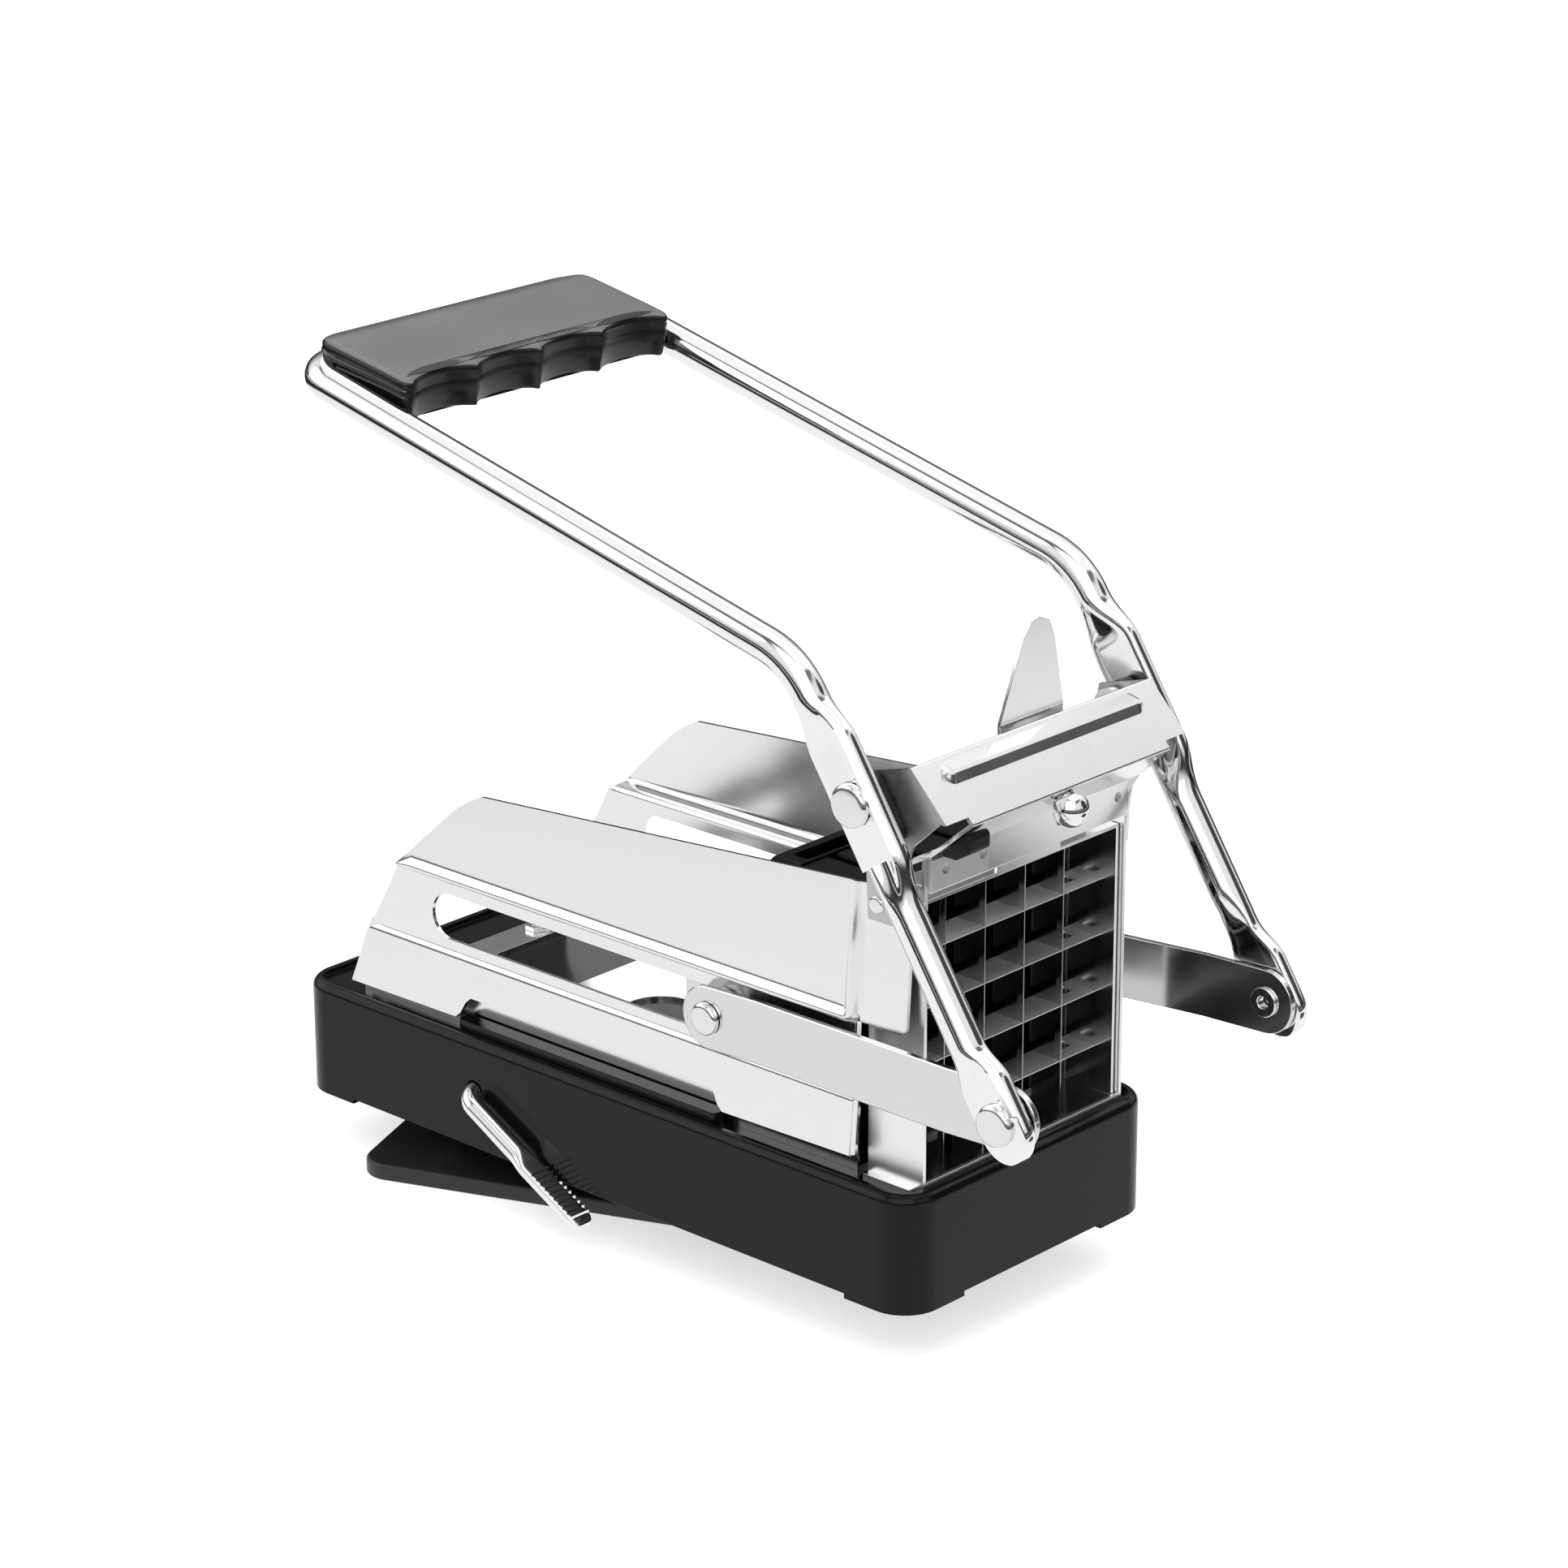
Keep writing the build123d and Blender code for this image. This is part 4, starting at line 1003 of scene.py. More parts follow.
@dataclass
class Handle:
    """The bent handle rod with its pressed flats at the pivots and at the feet."""

    foot: tuple = (162.5, 73.5)
    pivot: tuple = (111.0, 151.5)
    corner: tuple = (87.9, 186.4)
    bar: tuple = (-104.0, 231.9)
    rod_mid: float = 59.5
    flat_mid: float = 59.7
    radius: float = 5.0
    arm_bend: float = 26.0
    bar_bend: float = 11.0
    flat_half: float = 2.3
    flat_front: float = 8.8
    flat_rear: float = 7.6
    ridge_at: float = 6.7
    ridge_half: float = 2.1
    ridge_height: float = 1.1
    squareness: float = 7.0
    cut_below: float = 17.5
    flat_above: float = 16.0
    taper_above: float = 15.0
    foot_bottom: float = -11.6
    foot_round: float = 9.0
    foot_flat: float = 20.0
    foot_taper: float = 14.0
    outer_flat: float = 10.0
    outer_taper: float = 12.0
    cut_fade: tuple = (15.0, 2.0)
    ridge_start: tuple = (-1.0, 0.2)
    points: int = 48

    def build(self) -> None:
        """Builds the rod and dresses it."""
        stations = self._leg() + self._bends()
        half = mesh_from_stations("handle_rod_shape", stations + self._mirrored(stations))
        smooth(half.data, 35)
        place(half, "handle_rod", Finish.ROD_CHROME)

    def _along(self) -> Vector:
        """Unit vector up the leg."""
        return Vector((self.corner[0] - self.foot[0], 0, self.corner[1] - self.foot[1])).normalized()

    def _outline(self, run: float, pivot_run: float) -> tuple:
        """Cross-section of the leg at a distance above the foot rivet.

        Args:
            run: Distance above the foot rivet.
            pivot_run: Distance of the main pivot above the foot rivet.

        Returns:
            Section points, across (forwards) and outward.
        """
        cut = pivot_run - self.cut_below
        inner = 1.0 - eased(run, self.foot_flat, self.foot_flat + self.foot_taper)
        outer = 1.0 - eased(run, self.outer_flat, self.outer_flat + self.outer_taper)
        end = pivot_run + self.flat_above
        above = 1.0 - eased(run, end, end + self.taper_above)
        behind = above if run > cut else 0.0
        before = above * eased(run, cut - self.cut_fade[0], cut + self.cut_fade[1])
        closing = 1.0
        low = self.foot_bottom + self.foot_round - run
        if low > 0:
            closing = math.sqrt(max(0.0, 1.0 - (low / self.foot_round) ** 2))
        ridge = self.ridge_height * eased(run, *self.ridge_start)
        centre = (self.flat_front - self.flat_rear) / 2
        points = []
        for index in range(self.points):
            turn = 2 * math.pi * index / self.points
            cosine = math.cos(turn)
            sine = math.sin(turn)
            reach = self.flat_front if cosine > 0 else self.flat_rear
            flat_u = cosine * reach
            if closing < 1.0:
                flat_u = centre * (1 - closing) + flat_u * closing
            edge = (1.0 - min(1.0, abs(cosine)) ** self.squareness) ** (1.0 / self.squareness)
            flat_v = math.copysign(self.flat_half * edge, sine) + (self.flat_mid - self.rod_mid)
            if sine > 0:
                offset = abs(flat_u - self.ridge_at) / self.ridge_half
                if offset < 1:
                    flat_v += ridge * math.cos(offset * math.pi / 2) ** 2
            ahead = eased(cosine, -0.25, 0.35)
            wide = max(outer, behind) * (1 - ahead) + max(outer, before) * ahead
            level = max(inner, behind) * (1 - ahead) + max(inner, before) * ahead
            thin = level + (wide - level) * eased(sine, -0.3, 0.3)
            points.append(
                (
                    self.radius * cosine * (1 - wide) + flat_u * wide,
                    self.radius * sine * (1 - thin) + flat_v * thin,
                )
            )
        return tuple(points)

    def _leg(self) -> list[Station]:
        """Stations from the foot's rounded end up to the bend into the arm."""
        along = self._along()
        across = Vector((along.z, 0, -along.x))
        start = Vector((self.foot[0], self.rod_mid, self.foot[1]))
        pivot_run = math.hypot(self.pivot[0] - self.foot[0], self.pivot[1] - self.foot[1])
        cut = pivot_run - self.cut_below
        turns = [step * math.pi / 24 for step in range(1, 12)]
        runs = [self.foot_bottom + self.foot_round * (1 - math.cos(turn)) for turn in turns]
        runs += [-1.2, -0.9, -0.6, -0.3, 0.0, 0.3]
        runs += [self.foot_flat + self.foot_taper * step / 12 for step in range(13)]
        runs += [self.outer_flat + self.outer_taper * step / 12 for step in range(13)]
        runs += [cut - 16 + 16 * step / 12 for step in range(12)]
        runs += [cut - 0.02, cut + 0.02, cut + 1.0, cut + 2.0]
        runs += [pivot_run + self.flat_above + self.taper_above * step / 16 for step in range(17)]
        stations = []
        for run in sorted(set(runs)):
            outline = self._outline(run, pivot_run)
            stations.append(Station(start + along * run, across, Vector((0, 1, 0)), outline))
        return stations

    def _circle(self) -> tuple:
        """The round section."""
        turns = [2 * math.pi * index / self.points for index in range(self.points)]
        return tuple((self.radius * math.cos(turn), self.radius * math.sin(turn)) for turn in turns)

    def _bends(self) -> list[Station]:
        """Stations round the bend into the arm, along the arm and round the bend into the grip bar."""
        along = self._along()
        corner = Vector((self.corner[0], self.rod_mid, self.corner[1]))
        arm = Vector((self.bar[0] - self.corner[0], 0, self.bar[1] - self.corner[1])).normalized()
        stations = self._bend(corner, along, arm, self.arm_bend, Vector((0, 1, 0)), 16)
        bar = Vector((self.bar[0], self.rod_mid, self.bar[1]))
        lift = Vector((arm.z, 0, -arm.x))
        stations += self._bend(bar, arm, Vector((0, -1, 0)), self.bar_bend, lift, 12)
        return stations

    def _bend(
        self, corner: Vector, before: Vector, after: Vector, radius: float, fixed: Vector, steps: int
    ) -> list[Station]:
        """Stations round one bend.

        Args:
            corner: Where the two centre lines would meet.
            before: Direction of travel before the bend.
            after: Direction of travel after it.
            radius: Bend radius.
            fixed: The direction that the bend turns about.
            steps: Number of steps.

        Returns:
            The stations.
        """
        angle = before.angle(after)
        setback = radius * math.tan(angle / 2)
        axis = before.cross(after).normalized()
        inward = axis.cross(before)
        centre = corner - before * setback + inward * radius
        stations = []
        for step in range(steps + 1):
            turn = Matrix.Rotation(angle * step / steps, 3, axis)
            middle = centre - (turn @ inward) * radius
            tangent = turn @ before
            if abs(fixed.y) > 0.5:
                across = Vector((tangent.z, 0, -tangent.x))
                outward = Vector((0, 1, 0))
            else:
                across = fixed
                outward = tangent.cross(fixed)
                if outward.dot(Vector((0, 1, 0))) < 0 and step == 0:
                    outward = -outward
                elif stations and outward.dot(stations[-1].outward) < 0:
                    outward = -outward
            stations.append(Station(middle, across, outward, self._circle()))
        return stations

    @staticmethod
    def _mirrored(stations: list[Station]) -> list[Station]:
        """The other half of the handle.

        Args:
            stations: Stations of the left half, from the foot to the grip bar.

        Returns:
            Their mirror images, from the grip bar to the foot.
        """
        flip = Vector((1, -1, 1))
        return [
            Station(item.centre * flip, item.across * flip, item.outward * flip, item.outline)
            for item in reversed(stations)
        ]


# ---------------------------------------------------------------- sub-assemblies
@dataclass
class SideWall:
    """One pressed side wall: flared foot, slotted panel, rolled ridge and embossed upper panel."""

    sheet: float = 1.2
    foot: tuple = (36.0, 47.2)
    crease: tuple = (56.0, 45.0)
    crease_round: float = 2.0
    roll_low: float = 80.4
    roll_high: float = 84.4
    upper: tuple = (84.6, 47.6)
    top: tuple = (128.0, 44.6)
    panel_end: float = 100.4
    panel_corner: float = 4.0
    end_fade: tuple = (3.0, 0.4)
    panel_rise: tuple = (-0.6, 1.7)
    crease_step: float = 0.75
    crease_fade: tuple = (0.6, 1.7)
    roll_height: float = 1.45
    roll_width: float = 1.45
    roll_middle: float = 2.1
    roll_loss: float = 0.6
    roll_fade: tuple = (100.0, 118.0)
    ear_drop: float = 1.1
    ear_fade: tuple = (112.0, 121.0)
    panel_front: float = 100.0
    panel_front_round: float = 1.5
    ear_front: float = 117.7
    ear_low_round: float = 3.0
    ear_high_round: float = 2.0
    ear_foot: float = 81.6
    slot: tuple = (-72.0, 84.0)
    slot_middle: float = 68.5
    slot_height: float = 14.4
    slot_split: float = 0.001
    low_edge: tuple = (
        (-106.0, 38.0), (-60.5, 38.5), (-58.5, 40.2), (-56.5, 43.8), (-54.5, 45.6),
        (43.0, 46.6), (45.0, 44.8), (47.0, 41.2), (49.0, 39.6), (100.0, 40.5),
    )
    high_edge: tuple = (
        (-106.0, 38.0), (-100.0, 56.0), (-86.5, 80.0), (-83.0, 82.3), (-75.0, 90.2), (-61.0, 103.0),
        (-58.5, 105.0), (-54.5, 107.7), (-49.0, 110.5), (117.7, 123.5),
    )
    rear_columns: tuple = (-106.0, -105.6, -103.0, -100.0, -97.0, -93.0, -90.0, -86.5, -83.0, -78.0, -75.0)
    notch_columns: tuple = (-61.0, -60.5, -58.5, -56.5, -54.5, -49.0, 43.0, 45.0, 47.0, 49.0)
    front_columns: tuple = (
        88.0, 92.0, 98.9, 99.3, 99.7, 99.9, 107.5, 111.0, 114.7, 115.7, 116.4, 117.0, 117.4, 117.6, 117.7,
    )
    low_rows: tuple = (37.0, 40.5, 43.0, 46.0, 50.0, 61.3, 65.0, 72.0, 75.7)
    high_rows: tuple = (90.0, 94.0, 98.0, 102.0, 106.0, 110.0, 114.0, 118.0, 121.0, 124.0)

    def build(self) -> None:
        """Builds both walls, one the mirror image of the other."""
        for side, node in ((1, "side_wall_left"), (-1, "side_wall_right")):
            wall = self._sheet_metal(node, side)
            softened(wall, 0.3, 2, 60)
            place(wall, node, Finish.BODY_SHEET)

    def _depth(self, x: float, z: float) -> float:
        """Distance of the sheet's middle from the centre plane.

        Args:
            x: Place along the body.
            z: Height.

        Returns:
            The distance in millimetres.
        """
        slope = (self.foot[1] - self.crease[1]) / (self.crease[0] - self.foot[0])
        under = self.crease[0] - z
        bend = under + math.sqrt(under * under + self.crease_round ** 2)
        lower = self.crease[1] + slope * 0.5 * bend
        lean = (self.top[1] - self.upper[1]) / (self.top[0] - self.upper[0])
        upper = self.upper[1] + lean * (z - self.upper[0])
        fade_start, fade_end = self.crease_fade
        lower += self.crease_step * (1 - eased(z, self.crease[0] + fade_start, self.crease[0] + fade_end))
        ear = upper - self.ear_drop * (1 - eased(z, *self.ear_fade))
        near_end = max(0.0, self.panel_corner - (self.panel_end - x))
        near_roll = max(0.0, self.panel_corner - (z - self.roll_low))
        distance = min(self.panel_end - x, z - self.roll_low)
        if near_end > 0 and near_roll > 0:
            distance = self.panel_corner - math.hypot(near_end, near_roll)
        before, after = self.end_fade
        around = lower + (ear - lower) * eased(x, self.panel_end - before, self.panel_end + after)
        if z > self.roll_high:
            around = ear
        share = eased(distance, *self.panel_rise)
        swell = self.roll_height * math.exp(-(((distance - self.roll_middle) / self.roll_width) ** 2))
        fading = 1 - self.roll_loss * eased(z, *self.roll_fade)
        return around + (upper - around) * share + swell * fading

    def _edges(self, x: float) -> tuple[float, float]:
        """Lower and upper edge of the sheet at one place along the body."""
        low = read_line(self.low_edge, x)
        if x > self.panel_front:
            low = self.ear_foot
        rounds = ((self.panel_front, self.panel_front_round), (self.ear_front, self.ear_low_round))
        for corner, radius in rounds:
            if corner - radius < x <= corner and (x <= self.panel_front or corner > self.panel_front):
                low += self._corner_cut(radius, x - corner)
        high = read_line(self.high_edge, x)
        if x > self.ear_front - self.ear_high_round:
            high -= self._corner_cut(self.ear_high_round, x - self.ear_front)
        return low, high

    @staticmethod
    def _corner_cut(radius: float, past: float) -> float:
        """How much a rounded corner takes off an edge.

        Args:
            radius: Radius of the corner.
            past: Place along the edge, 0 at the corner and negative before it.

        Returns:
            The height that is taken off.
        """
        return radius - math.sqrt(max(0.0, radius ** 2 - (past + radius) ** 2))

    def _slot_half(self, x: float) -> float:
        """Half of the slot's opening at one place along the body."""
        radius = self.slot_height / 2
        overrun = max(self.slot[0] + radius - x, x - self.slot[1] + radius, 0.0)
        return math.sqrt(max(0.0, radius ** 2 - overrun ** 2))

    def _sheet_metal(self, name: str, side: int) -> bpy.types.Object:
        """Builds the bent sheet, its grid fitted to its edges and to the slot.

        Args:
            name: Name of the CAD node.
            side: 1 for the left wall, -1 for the right one.

        Returns:
            The wall as a closed mesh.
        """
        columns = list(self.rear_columns + self.notch_columns + self.front_columns)
        radius = self.slot_height / 2
        for step in range(13):
            reach = radius * (1 - math.cos(math.radians(7.5 * step)))
            columns += [self.slot[0] + reach, self.slot[1] - reach]
        columns += [-44.0 + 6.0 * step for step in range(20)]
        columns += [94.0 + 0.5 * step for step in range(21)]
        columns = sorted(set(round(x, 4) for x in columns))
        rows = list(self.low_rows + self.high_rows)
        rows += [self.slot_middle - self.slot_split, self.slot_middle + self.slot_split]
        rows += [52.0 + 0.8 * step for step in range(10)]
        rows += [78.5 + 0.31 * step for step in range(10)]
        rows += [self.ear_foot + 0.3 * step for step in range(22)]
        rows = sorted(set(round(z, 4) for z in rows))
        split = rows.index(round(self.slot_middle - self.slot_split, 4))
        work = bmesh.new()
        grid = []
        for x in columns:
            low, high = self._edges(x)
            half = self._slot_half(x)
            column = []
            for index, z in enumerate(rows):
                if index <= split:
                    z = min(z, self.slot_middle - half)
                else:
                    z = max(z, self.slot_middle + half)
                z = min(max(z, low), high)
                column.append(work.verts.new((x * MM, side * self._depth(x, z) * MM, z * MM)))
            grid.append(column)
        for i in range(len(columns) - 1):
            in_slot = self._slot_half(columns[i]) + self._slot_half(columns[i + 1]) > 0
            for j in range(len(rows) - 1):
                if j == split and in_slot:
                    continue
                if columns[i] >= self.panel_front and rows[j + 1] <= self.ear_foot + 1e-6:
                    continue
                work.faces.new((grid[i][j], grid[i + 1][j], grid[i + 1][j + 1], grid[i][j + 1]))
        bmesh.ops.remove_doubles(work, verts=work.verts, dist=3e-6)
        bmesh.ops.dissolve_degenerate(work, edges=work.edges, dist=3e-6)
        loose = [vert for vert in work.verts if not vert.link_faces]
        bmesh.ops.delete(work, geom=loose, context="VERTS")
        bmesh.ops.recalc_face_normals(work, faces=work.faces)
        mesh = bpy.data.meshes.new(name)
        work.to_mesh(mesh)
        work.free()
        obj = link_object(name + "_shape", mesh)
        solid = obj.modifiers.new("sheet", "SOLIDIFY")
        solid.thickness = self.sheet * MM
        solid.offset = 0.0
        solid.use_even_offset = True
        return baked(obj)


def read_line(points: tuple, x: float) -> float:
    """Reads a broken line.

    Args:
        points: Its points, from low to high x.
        x: Where to read it.

    Returns:
        The line's height there.
    """
    for (x0, z0), (x1, z1) in zip(points, points[1:]):
        if x <= x1:
            return z0 + (z1 - z0) * (max(x, x0) - x0) / (x1 - x0)
    return points[-1][1]


@dataclass
class SheetBody:
    """Pressed sheet-metal body on its moulded base."""

    press_round: float = 0.35
    base_round: float = 0.5

    def build(self) -> None:
        """Builds and dresses the body pieces."""
        EdgeBreak("base", Finish.BASE_GLOSS, self.base_round, 3, 30).build()
        EdgeBreak("floor_tray", Finish.BODY_SHEET, self.press_round).build()
        EdgeBreak("front_frame", Finish.FRAME_SHEET, self.press_round).build()
        SideWall().build()


@dataclass
class TopBracket:
    """Bracket over the blade window, with its lug, stop block, spacers and lock screw."""

    press_round: float = 0.35
    slope: tuple = (14.2, -14.6)
    edge: tuple = (121.8, 161.0)
    old_bead: float = 8.3
    crest: float = 5.0
    crest_height: float = 1.6
    bead_half: float = 3.5
    bead_reach: float = 43.0
    sheet_half: float = 0.6
    pivot: tuple = (111.0, 151.5)
    leg: tuple = (51.5, -78.0)
    block_outline: tuple = (
        (123.6, 134.7, 0.8), (130.0, 134.7, 0.8), (135.4, 138.0, 1.5), (135.4, 144.6, 1.5),
    )
    block_sides: tuple = (-41.7, -33.4)
    spacer_outline: tuple = ((-6.5, -7.0), (14.0, -7.0), (14.0, 4.6), (-6.5, 4.6))
    spacer_round: float = 3.5
    spacer_thick: float = 5.4
    spacer_starts: tuple = (51.25, -56.65)

    def build(self) -> None:
        """Builds and dresses the bracket pieces."""
        self._bracket()
        EdgeBreak("corner_lug", Finish.CHEEK_ZINC, self.press_round).build()
        block = plate("bracket_block_shape", [rounded(list(self.block_outline))], *self.block_sides)
        place(softened(block, 0.5, 3, 40), "bracket_block", Finish.SPACER_BLACK)
        self._spacers()
        EdgeBreak("lock_screw", Finish.ROD_CHROME, 0.2).build()
        for node in ("base_screws", "base_nuts"):
            EdgeBreak(node, Finish.RIVET_STEEL, 0.2).build()

    def _bracket(self) -> None:
        """Moves the stiffening bead up the plate and sharpens it to a ridge, then rounds the edges."""
        mesh = frame["nodes"]["top_bracket"].data.copy()
        obj = link_object("top_bracket_shape", mesh)
        along = Vector((self.slope[0], 0, self.slope[1])).normalized()
        normal = Vector((-along.z, 0, along.x))
        origin = Vector((self.edge[0], 0, self.edge[1]))
        for vert in mesh.vertices:
            offset = vert.co / MM - origin
            down = offset.dot(along)
            height = offset.dot(normal) - self.sheet_half
            off_centre = down - self.old_bead
            on_plate = abs(offset.y) < self.bead_reach and -0.03 < height < 2.2
            if on_plate and abs(off_centre) < self.bead_half:
                if height > 0.4:
                    down_new = self.crest + 0.3 + off_centre * 0.3
                    height_new = self.crest_height
                else:
                    down_new = self.crest + off_centre * 1.18
                    height_new = 0.0
                lift = height_new + self.sheet_half
                vert.co = (origin + Vector((0, offset.y, 0)) + along * down_new + normal * lift) * MM
        softened(obj, self.press_round, 2, 20)
        place(obj, "top_bracket", Finish.BODY_SHEET)
        obj.data.materials.append(SHELF.get(Finish.CHEEK_ZINC))
        for face in obj.data.polygons:
            if abs(face.center.y) > 45 * MM and abs(face.normal.y) > 0.9 and face.center.x < 134 * MM:
                face.material_index = 1

    def _spacers(self) -> None:
        """Rounded spacers between the bracket's cheeks and the handle."""
        along = Vector(self.leg).normalized()
        across = Vector((-along.y, along.x))
        middle = Vector(self.pivot)
        corners = []
        for run, out in self.spacer_outline:
            spot = middle + along * run + across * out
            corners.append((spot.x, spot.y, self.spacer_round))
        outline = rounded(corners)
        halves = [plate("spacer", [outline], low, low + self.spacer_thick) for low in self.spacer_starts]
        obj = joined("pivot_spacers_shape", halves)
        place(softened(obj, 0.7, 3, 40), "pivot_spacers", Finish.SPACER_BLACK)


def head(radius: float, thick: float) -> list[tuple[float, float]]:
    """Profile of a flat rivet head with a rounded edge.

    Args:
        radius: Radius of the head.
        thick: Its thickness.

    Returns:
        Points from the underside's rim to the middle of its face.
    """
    points = [(radius, 0.0), (radius, thick * 0.3)]
    for step in range(1, 6):
        turn = math.radians(18 * step)
        rim = radius - thick * 0.7 * (1 - math.cos(turn))
        points.append((rim, thick * 0.3 + thick * 0.66 * math.sin(turn)))
    return points + [(radius * 0.55, thick), (0.0, thick)]


@dataclass
class Fasteners:
    """The rivets of the body and of the linkage."""

    pivot: tuple = (111.0, 151.5)
    foot: tuple = (162.5, 73.5)
    slide: tuple = (46.0, 68.5)
    pivot_shank: tuple = ((0, -15.9), (5.6, -15.9), (5.6, -13.7), (3.5, -13.7), (3.5, 0))
    foot_shank: tuple = ((0, -4.6), (3.0, -4.6), (3.0, 0))
    pin_shank: tuple = ((0, -10.9), (4.5, -10.9), (4.5, -9.3), (3.0, -9.3), (3.0, 0))
    wall_shank: tuple = ((0, -5.8), (1.6, -5.8), (1.6, 0))
    wall_places: tuple = (107.5, 114.5)
    wall_out: float = 47.6
    wall_height: float = 118.0
    strip_profile: tuple = (
        (0, -1.2), (1.45, -1.2), (1.45, 0), (1.9, 0), (1.9, 0.5), (1.5, 0.75), (1.0, 0.55), (0, 0.5),
    )
    strip_places: tuple = (-37.5, -22.0, 12.0, 37.5)
    strip_face: float = 120.85
    strip_height: float = 129.7
    lug_thick: float = 1.2

    def build(self) -> None:
        """Builds each kind of rivet."""
        tree = SpotTree()
        for node, spot, out, shank, radius, thick in (
            ("pivot_rivets", self.pivot, 62.3, self.pivot_shank, 6.3, 2.2),
            ("foot_rivets", self.foot, 62.02, self.foot_shank, 6.0, 2.2),
            ("link_pins", self.slide, 51.2, self.pin_shank, 4.9, 2.0),
        ):
            self._pair(node, spot, out, list(shank) + head(radius, thick), tree)
        spots = []
        for x in self.wall_places:
            for side in (-1, 1):
                spots.append((x, side * self.wall_out, self.wall_height, 0, side, 0))
        profile = list(self.wall_shank) + head(2.6, 1.15)
        Rivet("wall_rivets", tuple(profile), tuple(spots), 5).build(tree)
        spots = []
        for y in self.strip_places:
            spots.append((self.strip_face + self.lug_thick * (y < 0), y, self.strip_height, 1, 0, 0))
        Rivet("strip_rivets", self.strip_profile, tuple(spots), 7, Finish.CHEEK_ZINC).build(tree)

    @staticmethod
    def _pair(node: str, spot: tuple, out: float, profile: list, tree: SpotTree) -> None:
        """Builds a rivet on each side of the chipper.

        Args:
            node: CAD node.
            spot: Place of the rivet's axis, x and z.
            out: Distance of the head's underside from the centre plane.
            profile: Profile of the rivet, height 0 at that underside.
            tree: The group that places it.
        """
        spots = tuple((spot[0], side * out, spot[1], 0, side, 0) for side in (-1, 1))
        Rivet(node, tuple(profile), spots).build(tree)


@dataclass
class BladeCassette:
    """Blade frame with its crossed blades."""

    back: float = 102.2
    ground: float = 110.8
    front: float = 112.8
    thick: float = 0.6
    edge_share: float = 0.4
    reach: float = 40.7
    bottom: float = 35.9
    rise: float = 82.0
    pitch: float = 17.0
    first_height: float = 50.5
    count: int = 4
    hole: tuple = ((104.0, 32.4), (108.2, 32.4), (108.2, 36.6), (104.0, 36.6))

    def build(self) -> None:
        """Builds and dresses the cassette pieces."""
        EdgeBreak("cassette_frame", Finish.BODY_SHEET, 0.2).build()
        tree = RowTree()
        level = self._blade("level_blade", "xyz", self.reach, 0.0, list(self.hole))
        first = (0, 0, self.first_height)
        # The horizontal blades take the paler steel: painted light on their tops.
        self._row(tree, "horizontal_blades", level, first, (0, 0, self.pitch), Finish.BLADE_STEEL_PAINTED_LIGHT)
        upright = self._blade("upright_blade", "xzy", self.rise / 2, self.bottom + self.rise / 2, None)
        first = (0, -1.5 * self.pitch, 0)
        self._row(tree, "vertical_blades", upright, first, (0, self.pitch, 0), Finish.BLADE_UPRIGHT)

    def _blade(self, name: str, axes: str, half: float, middle: float, hole: list | None) -> bpy.types.Object:
        """One blade: a thin plate whose front edge is ground narrower.

        Args:
            name: Name of the piece.
            axes: World axes of the blade's depth, length and thickness.
            half: Half of its length.
            middle: Middle of its length.
            hole: Outline of the hole at its far end, if it has one.

        Returns:
            The blade.
        """
        low, high = middle - half, middle + half
        outline = [(self.back, low), (self.ground, low), (self.ground, high), (self.back, high)]
        body = plate(name, [outline] + ([hole] if hole else []), -self.thick / 2, self.thick / 2, axes)
        strip = [(self.ground, low), (self.front, low), (self.front, high), (self.ground, high)]
        edge = plate(name + "_edge", [strip], -self.thick / 2, self.thick / 2, axes)
        thin = "xyz".index(axes[2])
        for vert in edge.data.vertices:
            if vert.co.x > (self.front - 0.1) * MM:
                vert.co[thin] *= self.edge_share
        return joined(name, [body, edge])

    def _row(
        self, tree: RowTree, node: str, piece: bpy.types.Object, start: tuple, pitch: tuple, finish: Finish
    ) -> None:
        """Repeats a blade.

        Args:
            tree: The group that repeats it.
            node: CAD node.
            piece: The blade; it is removed.
            start: Place of the first blade.
            pitch: Step from blade to blade.
            finish: The blades' finish.
        """
        obj = link_object(node + "_shape", bpy.data.meshes.new(node))
        values = {
            "Count": self.count,
            "Start": tuple(value * MM for value in start),
            "Pitch": tuple(value * MM for value in pitch),
            "Piece": piece,
            "Finish": SHELF.get(finish),
        }
        tree.run(obj, values)
        bpy.data.objects.remove(piece)
        smooth(obj.data, 20)
        place(obj, node, finish)


@dataclass
class Pusher:
    """Pin pusher, its carriage, rollers, pins and links."""

    def build(self) -> None:
        """Builds and dresses the pusher pieces."""
        EdgeBreak("pusher_block", Finish.PUSHER_BLACK, 0.6, 2).build()
        EdgeBreak("pusher_carriage", Finish.LINK_STEEL, 0.3).build()
        for node in ("slide_rollers", "link_eyelet_left", "link_eyelet_right"):
            EdgeBreak(node, Finish.RIVET_STEEL, 0.25).build()
        for node in ("link_left", "link_right"):
            EdgeBreak(node, Finish.LINK_STEEL, 0.35).build()


